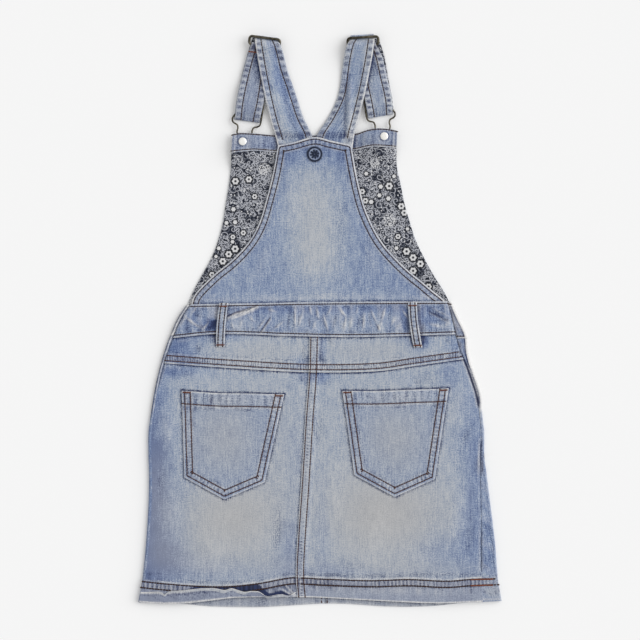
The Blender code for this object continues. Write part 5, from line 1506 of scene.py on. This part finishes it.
def makeStrap(stretch, side, rows, paint):
    grid, half, fromLeft, fromRight, along = ribbonFaces(rows, strapLie["wall"],
                                                         stops(30, 1.4, edgeSteps[:12], edgeSteps[:12]))
    look = freshLook(fromLeft, strapSew["fade"])
    addSeam(look, np.minimum(fromLeft, fromRight), along, (strapSew["row"],), strapSew["band"],
            strapSew[stretch]["puckers"], strapSew[stretch][side], 0.4, 1.15, 0.35, 0.9)
    fold = paint(look, grid[..., 0], grid[..., 1], fromLeft, fromRight, along)
    lift = half / np.linalg.norm(half, axis=-1, keepdims=True)
    middle = grid + lift * fold[..., None]
    outer = middle + half + lift * look.rise[..., None]
    outer[..., 2] = np.maximum(outer[..., 2], 0.0)
    cloth = np.stack([fromLeft + {"left": 0.0, "right": 60.0}[side], along], -1)
    piece = wallMesh("strap" + stretch.title() + side.title(), outer, middle - half, look, cloth, insideLook)
    finishCloth(piece, "strap_" + stretch + "_" + side, "denim", grid)


def paintBackStrap(side):
    def paint(look, x, y, fromLeft, fromRight, along):
        share = fromLeft / (fromLeft + fromRight)
        addLines(look, fromLeft if side == "left" else fromRight, wear=[(0.8, 0.9, 0.5)])
        addLines(look, y, deep=[(203, 4, 0.45)], fade=[(262, 14, -0.18)])
        addLines(look, along, wear=[(14, 4, 0.2)])
        fold = 0.25 * patchy(x, y, 12, 30, 14)
        if side == "left":
            # painted light across the strap: a lighter stripe on its soft lengthwise ridge, and painted
            # shade towards the dip beside it
            addLines(look, share, fade=[(0.34, 0.16, 0.22), (0.76, 0.18, -0.22)])
            fold += 0.5 * hump(share - 0.36, 0.14) - 0.4 * hump(share - 0.72, 0.12)
            look.deep += 0.25 * hump(share - 0.62, 0.05) * ease((258 - y) / 20)
        else:
            look.fade += 0.10 - 0.24 * hump(y - 203.0, 8.0) * ease((0.8 - share) / 0.1)
            # a lengthwise fold: painted highlight on its ridge, painted shade in its trough, and painted
            # light across the width, lighter towards the right edge
            length = ease((268 - y) / 14) * ease((y - 196) / 6)
            trough, ridge = x - 28.0 - 0.02 * (y - 225), x - 32.6 - 0.02 * (y - 225)
            fold += length * (1.6 * hump(ridge, 3.2) - 0.7 * hump(trough, 2.0))
            look.wear += 0.24 * length * hump(ridge - 0.4, 2.6)
            look.deep += length * (0.60 * hump(trough + 0.3, 1.1) + 0.22 * hump(trough + 2.4, 3.0))
            addLines(look, share, fade=[(0.82, 0.12, 0.12), (0.3, 0.2, -0.12)])
        return fold * ease((y - 200.0) / 8.0)

    return paint


def makeBackStrap(side):
    rows = smoothRows(strapBack[side], 66).reshape(-1, 2, 3)
    top = rows[-1]
    low = atLevel(top, strapLie["low"])
    rows = np.concatenate([rows, turnOver(top, low, outwardOf(top)), low[None]])[::-1]
    makeStrap("back", side, rows, paintBackStrap(side))


def frontRows(side, inset, count):
    rows = smoothRows(strapFront[side], count).reshape(-1, 2, 2)
    rows = np.concatenate([rows, np.full((count, 2, 1), strapLie["low"])], 2)
    along = rows[:, 1] - rows[:, 0]
    along *= inset / np.linalg.norm(along, axis=1, keepdims=True)
    return np.stack([rows[:, 0] + along, rows[:, 1] - along], 1)


def makeFrontStrap(side):
    # down to the clip, round its bar, back up and round the ring's sewn bar
    down = frontRows(side, 0.0, 48)
    outward = outwardOf(down[-1])
    back = frontRows(side, strapLie["inset"], 13)[::-1][:-1].copy()
    bar = ringPoint(side, 0.0, -ringLook["depth"])
    reach = ringPoint(side, 1.0, -ringLook["depth"]) - bar
    reach *= rings[side][2] / 2 - 2 * ringLook["wire"] - strapLie["clear"]
    back[-1] = bar - reach, bar + reach
    back[-2] = (back[-3] + back[-1]) / 2
    back = smoothRows(back.reshape(-1, 6), 60).reshape(-1, 2, 3)
    back[..., 2] = strapReturn(np.linspace(0, 1, 60))[:, None]
    low = atLevel(down[-1], back[0, 0, 2])
    top = back[-1]
    under = atLevel(top, 2 * (ringLook["height"] - ringLook["drop"]) - top[0, 2])
    tail = under - outwardOf(top) * strapLie["tail"]
    rows = np.concatenate([down, turnOver(down[-1], low, -outward), back,
                           turnOver(top, under, outwardOf(top)), [under, (under + tail) / 2, tail]])[::-1]

    def paint(look, x, y, fromLeft, fromRight, along):
        fade, grey, ringEnd, clipEnd = strapSew["ends"][side]
        look.fade += strapSew["returned"] - strapSew["fade"] + fade + 0.14 * patchy(x, y, 9, 22, 15)
        look.grey += grey
        # painted shade along the edge of the back strap that lies over this stretch, then painted shade by
        # the ring and a dark band by the clip
        away, _ = nearPath(backStrapEdge(side), x, y)
        look.deep += 0.75 * hump(away - 0.3, 2.0) + 0.40 * hump(away - 3.0, 4.5) * ease((y - 245) / 30)
        addLines(look, y, deep=[(ringEnd, 3.5, 0.35), (clipEnd, 1.6, 0.25)])
        return 0.22 * patchy(x, y, 11, 26, 16) * ease((y - 236) / 20) * (along < along.max() / 2)

    makeStrap("front", side, rows, paint)


def makeStrapLining(side):
    rows = frontRows(side, 0.4, 40)
    rows[..., 2] = strapLie["lining"]
    if side == "right":          # its outer edge has slipped out from under the denim towards the ring
        rows[:, 1, 0] += 0.4 + np.clip(0.045 * (rows[:, 1, 1] - 252), 0.0, 2.2)
    grid, half, fromLeft, _, _ = ribbonFaces(rows, 0.7, stops(29, 2.0, (0.0, 0.8), (0.0, 0.8)))
    look = freshLook(fromLeft, 0.0)
    cloth = np.stack([grid[..., 0] + 300, grid[..., 1]], -1)
    piece = wallMesh("strapLining" + side.title(), grid + half, grid - half, look, cloth, insideLook)
    addBlooms(piece)
    finishCloth(piece, "strap_lining_" + side, "print", grid)


def toMesh(name, maker, material):
    # the plain mesh of an object that a curve or a node tree makes
    bpy.context.scene.collection.objects.link(maker)
    bpy.context.view_layer.update()
    mesh = bpy.data.meshes.new_from_object(maker.evaluated_get(bpy.context.evaluated_depsgraph_get()))
    bpy.data.objects.remove(maker)
    mesh.name = name
    mesh.materials.clear()
    mesh.materials.append(material)
    piece = bpy.data.objects.new(name, mesh)
    bpy.context.scene.collection.objects.link(piece)
    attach(piece, "root")
    return piece


def wire(name, points, radius, material):
    # a bent wire joined end to end
    curve = bpy.data.curves.new(name + "Path", "CURVE")
    curve.dimensions = "3D"
    curve.bevel_depth = radius * mm
    curve.bevel_resolution = 5
    spline = curve.splines.new("POLY")
    spline.points.add(len(points) - 1)
    for point, place in zip(spline.points, points):
        point.co = (*(np.array(place) * mm), 1.0)
    spline.use_cyclic_u = True
    piece = toMesh(name, bpy.data.objects.new(name + "Path", curve), material)
    for polygon in piece.data.polygons:
        polygon.use_smooth = True
    return piece


def makeRing(side):
    half, corner, depth = rings[side][2] / 2 - ringLook["wire"], ringLook["corner"], ringLook["depth"]
    corners = [(half - corner, -corner, 0), (-half + corner, -corner, 90),
               (-half + corner, -depth + corner, 180), (half - corner, -depth + corner, 270)]
    points = [ringPoint(side, along + corner * math.cos(math.radians(start + 10 * step)),
                        up + corner * math.sin(math.radians(start + 10 * step)))
              for along, up, start in corners for step in range(10)]
    piece = wire("strapRing" + side.title(), points, ringLook["wire"], antiqueBrass)
    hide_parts("strap_ring_" + side)


clipLook = {"wire": 0.9, "height": 3.45}
# half of the clip's outline, (across, along) from its foot round the button up to its strap bar
clipOutline = [
    (0, -4.6), (3.6, -3), (4.8, 1), (6.6, 5.5), (8.2, 10), (8, 14.2), (9.4, 17.4), (12.8, 18.8),
    (15.1, 20.6), (15.8, 24), (15.8, 30), (15.4, 42), (14.2, 45.4), (10, 46.8), (0, 47)]


def makeClip(side):
    x, y, turn = buttons[side]
    half = smoothRows(clipOutline, 66)
    # the strap hides the outer arm above the shoulder of the wire
    tucked = half[-2:0:-1] * (-1, 1)
    tucked[:, 0] *= 1.0 - 0.17 * ease((tucked[:, 1] - 23.0) / 7.0)
    outline = np.concatenate([half, tucked]) * ({"left": 1, "right": -1}[side], 1)
    cosine, sine = math.cos(math.radians(turn)), math.sin(math.radians(turn))
    points = [(x + a * cosine - b * sine, y + a * sine + b * cosine, clipLook["height"]) for a, b in outline]
    piece = wire("clip" + side.title(), points, clipLook["wire"], antiqueBrass)
    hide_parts("clip_" + side)


# badge

badgeLook = {
    "place": (-5.8, 182.3), "radius": 8.8, "ring": 7.5, "petals": 8, "inner": 0.8, "outer": 4.9,
    "wall": 0.8, "crown": 0.35,
}


def badgeHeight(x, y):
    cx, cy = badgeLook["place"]
    away = np.hypot(x - cx, y - cy) / badgeLook["radius"]
    return backBibFace(x, y) + badgeLook["wall"] + badgeLook["crown"] * (1 - away ** 4)


def makeBadge():
    u, v = np.meshgrid(np.linspace(-1, 1, 37), np.linspace(1, -1, 37))
    cx, cy = badgeLook["place"]
    x = cx + badgeLook["radius"] * u * np.sqrt(1 - v * v / 2)
    y = cy + badgeLook["radius"] * v * np.sqrt(1 - u * u / 2)
    look = freshLook(x, 0.30)
    look.grey += 0.20
    away = np.hypot(x - cx, y - cy)
    look.deep += 0.5 * hump(away - badgeLook["radius"], 0.7) + 0.5 * ease((5.4 - away) / 1.2)
    piece = panel("badgeGround", x, y, badgeHeight(x, y), backBibFace(x, y) + 0.1, look)
    piece.data.materials.append(denim)
    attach(piece, "root")
    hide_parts("badge")


def polar(angle, radius):
    cx, cy = badgeLook["place"]
    x, y = cx + radius * np.cos(angle), cy + radius * np.sin(angle)
    return np.stack([x, y, badgeHeight(x, y) + 0.12], -1)


def badgeThreads():
    # a plain ring and a plain daisy, worked in satin stitch
    lines = [polar(np.linspace(0, 2 * math.pi, 61), badgeLook["ring"] + np.zeros(61))]
    for petal in range(badgeLook["petals"]):
        angle = 2 * math.pi * (petal + 0.25) / badgeLook["petals"]
        lines.append(polar(angle + np.zeros(7), np.linspace(badgeLook["inner"], badgeLook["outer"], 7)))
    return lines


# sewing: every stitch lies on the cloth it holds

def overCloth(lines, sink=0.0):
    # lays flat paths on the upper faces of their pieces, in runs wherever the piece is there
    runs, trees = [], {}
    for name, path in lines:
        if name not in trees:
            mesh = made[name].data
            trees[name] = BVHTree.FromPolygons([v.co[:] for v in mesh.vertices],
                                               [p.vertices[:] for p in mesh.polygons])
        runs.append([])
        for x, y in path:
            hit = trees[name].ray_cast(Vector((x * mm, y * mm, 0.05)), Vector((0, 0, -1)))[0]
            if hit is not None:
                runs[-1].append((x, y, hit.z / mm - sink))
            elif runs[-1]:
                runs.append([])
    return [np.array(run) for run in runs if len(run) > 1]


def stitchTree():
    # stitches along the edges of a mesh, each an oval bead of thread
    tree = bpy.data.node_groups.new("stitches", "GeometryNodeTree")
    tree.interface.new_socket("Geometry", in_out="INPUT", socket_type="NodeSocketGeometry")
    for name in ("Spacing", "Length", "Width", "Height", "Turn", "Crooked"):
        tree.interface.new_socket(name, in_out="INPUT", socket_type="NodeSocketFloat")
    tree.interface.new_socket("Seed", in_out="INPUT", socket_type="NodeSocketInt")
    tree.interface.new_socket("Thread", in_out="INPUT", socket_type="NodeSocketMaterial")
    tree.interface.new_socket("Geometry", in_out="OUTPUT", socket_type="NodeSocketGeometry")
    given = addNode(tree, "NodeGroupInput").node.outputs
    path = addNode(tree, "GeometryNodeMeshToCurve", given["Geometry"])
    path = addNode(tree, "GeometryNodeResampleCurve", path, mode="LENGTH",
                   inputs={"Length": given["Spacing"]})
    bead = addNode(tree, "GeometryNodeMeshUVSphere", inputs={"Segments": 6, "Rings": 4, "Radius": 0.5})
    size = addNode(tree, "CombineXYZ", given["Length"], given["Width"], given["Height"])
    bead = addNode(tree, "GeometryNodeTransform", bead, inputs={"Scale": size})
    along = addNode(tree, "FunctionNodeAlignRotationToVector", axis="X",
                    inputs={"Vector": addNode(tree, "GeometryNodeInputTangent")})
    flat = addNode(tree, "FunctionNodeAlignRotationToVector", axis="Z", pivot_axis="X",
                   inputs={"Rotation": along, "Vector": (0.0, 0.0, 1.0)})
    least = addNode(tree, "Math", given["Crooked"], -1.0, operation="MULTIPLY")
    nudge = addNode(tree, "FunctionNodeRandomValue", out=1, data_type="FLOAT",
                    inputs={2: least, 3: given["Crooked"], "Seed": given["Seed"]})
    turn = addNode(tree, "Math", given["Turn"], nudge, operation="ADD")
    spin = addNode(tree, "FunctionNodeEulerToRotation", addNode(tree, "CombineXYZ", None, None, turn))
    turned = addNode(tree, "FunctionNodeRotateRotation", flat, spin, rotation_space="LOCAL")
    beads = addNode(tree, "GeometryNodeInstanceOnPoints", path,
                    inputs={"Instance": bead, "Rotation": turned})
    beads = addNode(tree, "GeometryNodeRealizeInstances", beads)
    beads = addNode(tree, "GeometryNodeSetShadeSmooth", beads)
    beads = addNode(tree, "GeometryNodeSetMaterial", beads, inputs={"Material": given["Thread"]})
    addNode(tree, "NodeGroupOutput", beads)
    return tree


def sew(name, tree, lines, settings, material):
    # thread along every line, all in one piece
    mesh = bpy.data.meshes.new(name + "Paths")
    starts = np.cumsum([0] + [len(line) for line in lines])
    edges = [(s + i, s + i + 1) for s, line in zip(starts, lines) for i in range(len(line) - 1)]
    mesh.from_pydata((np.concatenate(lines) * mm).tolist(), edges, [])
    maker = bpy.data.objects.new(name + "Paths", mesh)
    modifier = maker.modifiers.new("stitches", "NODES")
    modifier.node_group = tree
    for item in tree.interface.items_tree:
        if item.in_out == "INPUT" and item.name in settings:
            modifier[item.identifier] = settings[item.name]
        elif item.in_out == "INPUT" and item.name == "Thread":
            modifier[item.identifier] = material
    piece = toMesh(name, maker, material)
    print(f"{name}: {len(lines)} runs, {len(piece.data.polygons)} faces")
    return piece


topstitch = {
    "Spacing": 2.9 * mm, "Length": 3.7 * mm, "Width": 1.5 * mm, "Height": 1.0 * mm, "Turn": 0.0,
    "Crooked": 0.07, "Seed": 3,
}
heavyStitch = topstitch | {"Width": 2.1 * mm, "Height": 1.2 * mm}
denseStitch = topstitch | {"Width": 2.1 * mm, "Spacing": 2.2 * mm}
barTack = {
    "Spacing": 0.55 * mm, "Length": 2.3 * mm, "Width": 0.6 * mm, "Height": 0.7 * mm, "Turn": 1.35,
    "Crooked": 0.16, "Seed": 5,
}
satin = {
    "Spacing": 0.42 * mm, "Length": 2.5 * mm, "Width": 0.5 * mm, "Height": 0.55 * mm, "Turn": 1.5708,
    "Crooked": 0.10, "Seed": 7,
}


def hemRows():
    # the tuck hides a stretch of the second row
    second = runAcross(hemRow, -196, -18, hemSew["gap"])
    second = second[(tuckRidge(second[:, 0]) < second[:, 1] - 0.3) | (second[:, 0] > -26)]
    rows = [("backSkirtLeft", path) for path in (runAcross(hemRow, -196, -18), second[second[:, 0] < -150],
                                                 second[second[:, 0] > -80])]
    for drop in (0.0, hemSew["gap"]):
        rows.append(("backSkirtRight", runAcross(hemRow, -20, 177, drop)))
    for drop in (0.0, hemSew["gap"]):
        rows += [("frontSkirtRight", runAcross(hemRow, 179, 196, drop)),
                 ("frontSkirtLeft", runAcross(hemRow, -196.6, -192, drop, 1.0))]
    return rows


def skirtRows():
    rows = []
    for row in backSkirt["seamRows"]:
        shift = backSkirt["lapLine"] + row
        rows += [("backSkirtRight", runDown(centreBack, -60, -304, shift)),
                 ("yokeRight", runDown(centreBack, -19, -57, shift))]
    for side, x in (("Left", 1.6), ("Right", 7.7)):
        rows.append(("frontSkirt" + side, np.array([(x, -306.3), (x + 0.2, -310.6)])))
    for name, low, high in (("yokeLeft", -176, -12), ("yokeRight", -11, 164)):
        rows += [(name, runAcross(yokeSeam, low, high, -yokeSew["edge"] - row)) for row in yokeSew["rows"]]
    return rows


def bandRows():
    rows = [("backWaistband", runAcross(waistBottom, -159.5, 148, waistSew["under"] - waistSew["lowRow"])),
            ("backWaistband", runAcross(waistTop, -141, 140, waistSew["topRow"] - waistSew["over"])),
            ("frontWaistband", runAcross(waistTop, 141.6, 143.4, 1.6, 1.5)),
            ("frontWaistband", runAcross(waistTop, 151.5, 157.6, 37.0, 1.5))]
    rows += [("backBib", insetPath(bibOutline(), row)) for row in bibSew["rows"]]
    return rows + [("bibFacing", runAcross(facingEdge, -97, 85, -facingSew["row"])),
                   ("bibFacing", runAcross(frontBibTop, -96.0, 84.4, 1.0))]


def pocketRows():
    rows = []
    for side, pocket in pockets.items():
        paths = [insetPath(pocketPath(pocket), row)[1:-1] for row in pocketSew["rows"]]
        paths.append(runAcross(pocketTop(side), pocket["topLeft"][0] + 1.2, pocket["topRight"][0] - 1.2,
                               pocketSew["hemRow"]))
        rows += [("backPocket" + side.title(), path) for path in paths]
    return rows


def loopRows():
    shift = beltLoopSew["width"] / 2 - beltLoopSew["row"]
    return [("beltLoop" + side.title(), loopMiddle(side, np.linspace(0.03, 0.97, 20)) + (aside, 0))
            for side in beltLoops for aside in (-shift, shift)]


def strapRows():
    rows = []
    for side in sides:
        for name, table, columns, extra, low, high in (
                ("strapBack", strapBack, (0, 1, 3, 4), 0.0, 199, 308),
                ("strapFront", strapFront, (0, 1, 2, 3), strapLie["inset"], 217, 301)):
            edges = smoothRows([[row[i] for i in columns] for row in table[side]], 60)
            a, b = edges[:, :2], edges[:, 2:]
            shift = (b - a) / np.linalg.norm(b - a, axis=1, keepdims=True) * (strapSew["row"] + extra)
            rows += [(name + side.title(), path[(path[:, 1] > low) & (path[:, 1] < high)])
                     for path in (a + shift, b - shift)]
    return rows


def tackRows():
    # bar tacks: at the pockets' upper corners, and across both ends of the belt loops
    rows = []
    for side, pocket in pockets.items():
        a, b = (np.array(pocket[key]) for key in ("topLeft", "topRight"))
        for near, far in ((a, b), (b, a)):
            unit = (far - near) / np.linalg.norm(far - near)
            line = near + unit * np.linspace(1.4, 9.9, 6)[:, None] + (0, -1.9)
            rows.append(("backPocket" + side.title(), line))
    across = np.linspace(-4.3, 4.3, 7)[:, None] * (1, 0)
    return rows + [("beltLoop" + side.title(), loopMiddle(side, np.array([share])) + across)
                   for side in beltLoops for share in (0.075, 0.955)]


def rustRows():
    ringBar = [("strapFrontLeft", np.linspace((-82.0, 295.6), (-55.5, 293.2), 12))]
    rows = []
    for drop in (0.2, hemSew["gap"] + 0.2):
        rows += [("frontSkirtRight", runAcross(hemRow, 178, 189, drop, 1.5)),
                 ("backSkirtRight", runAcross(hemRow, 167, 178, drop, 1.5))]
    return overCloth(ringBar) + overCloth(rows, -0.4)


for side in sides:
    makeFrontSkirt(side)
makeFrontWaistband()
makeFrontBib()
makeFacing()
makeLining()
print("front laid")
for side in sides:
    makeBackSkirt(side)
    makeYoke(side)
    makePocket(side)
makeBackWaistband()
makeBackBib()
for side in sides:
    makeBeltLoop(side)
print("back laid")
for side in sides:
    makeBackStrap(side)
    makeFrontStrap(side)
    makeStrapLining(side)
    makeRing(side)
    makeClip(side)
    for node in ("tack_" + side, "button_" + side):
        for slot in bpy.data.objects[node].material_slots:
            slot.material = nickel
makeBadge()
print("straps, metal and badge made")

stitches = stitchTree()
for name, slot, lines, settings, thread in (
        ("bandTopstitching", "denim", overCloth(bandRows() + loopRows() + strapRows()), topstitch,
         brownThread),
        ("hemTopstitching", "denim", overCloth(hemRows()), heavyStitch, brownThread),
        ("skirtTopstitching", "denim", overCloth(skirtRows() + pocketRows()), topstitch, russetThread),
        ("rustStitching", "denim", rustRows(), denseStitch, rustThread),
        ("barTacks", "denim", overCloth(tackRows()), barTack, rustThread),
        ("badgeEmbroidery", "badge", badgeThreads(), satin, inkThread)):
    sew(name, stitches, lines, settings, thread)
print("sewn")


# table, light and camera

stageLook = {
    "table": "#f6f6f6", "reach": 4.0, "under": 0.0001,       # half the table's length, and its level, in m
    "world": 0.665, "key": 2.03, "keySpread": 56, "keyPlace": (1.0, 0.3, 0.62),
    "lens": 100.0, "height": 1.9606,
}


def makeTable():
    mesh = bpy.data.meshes.new("tableTop")
    corners = [(-1, -1), (1, -1), (1, 1), (-1, 1)]
    mesh.from_pydata([(stageLook["reach"] * x, stageLook["reach"] * y, -stageLook["under"])
                      for x, y in corners], [], [(0, 1, 2, 3)])
    table = bpy.data.objects.new("tableTop", mesh)
    bpy.context.scene.collection.objects.link(table)
    material, _, surface = startMaterial("paleTable", 0.9, 0.0)
    surface.inputs["Base Color"].default_value = linear(stageLook["table"])
    mesh.materials.append(material)


def makeLight():
    world = bpy.data.worlds.new("softRoom")
    world.use_nodes = True
    background = world.node_tree.nodes["Background"]
    background.inputs["Color"].default_value = (1.0, 1.0, 1.0, 1.0)
    background.inputs["Strength"].default_value = stageLook["world"]
    bpy.context.scene.world = world
    # a wide window: even over the whole table, with soft shadows
    light = bpy.data.lights.new("windowLight", "SUN")
    light.angle = math.radians(stageLook["keySpread"])
    light.energy = stageLook["key"]
    lamp = bpy.data.objects.new("windowLight", light)
    bpy.context.scene.collection.objects.link(lamp)
    lamp.location = stageLook["keyPlace"]
    lamp.rotation_euler = (-lamp.location).to_track_quat("-Z", "Y").to_euler()


def makeCamera():
    # straight above, so that 704 mm fill the picture
    data = bpy.data.cameras.new("overhead")
    data.sensor_width = 36.0
    data.lens = stageLook["lens"]
    camera = bpy.data.objects.new("overhead", data)
    bpy.context.scene.collection.objects.link(camera)
    camera.location = (0.0, 0.0, stageLook["height"])
    bpy.context.scene.camera = camera


makeTable()
makeLight()
makeCamera()
bpy.context.scene.view_settings.view_transform = "Standard"
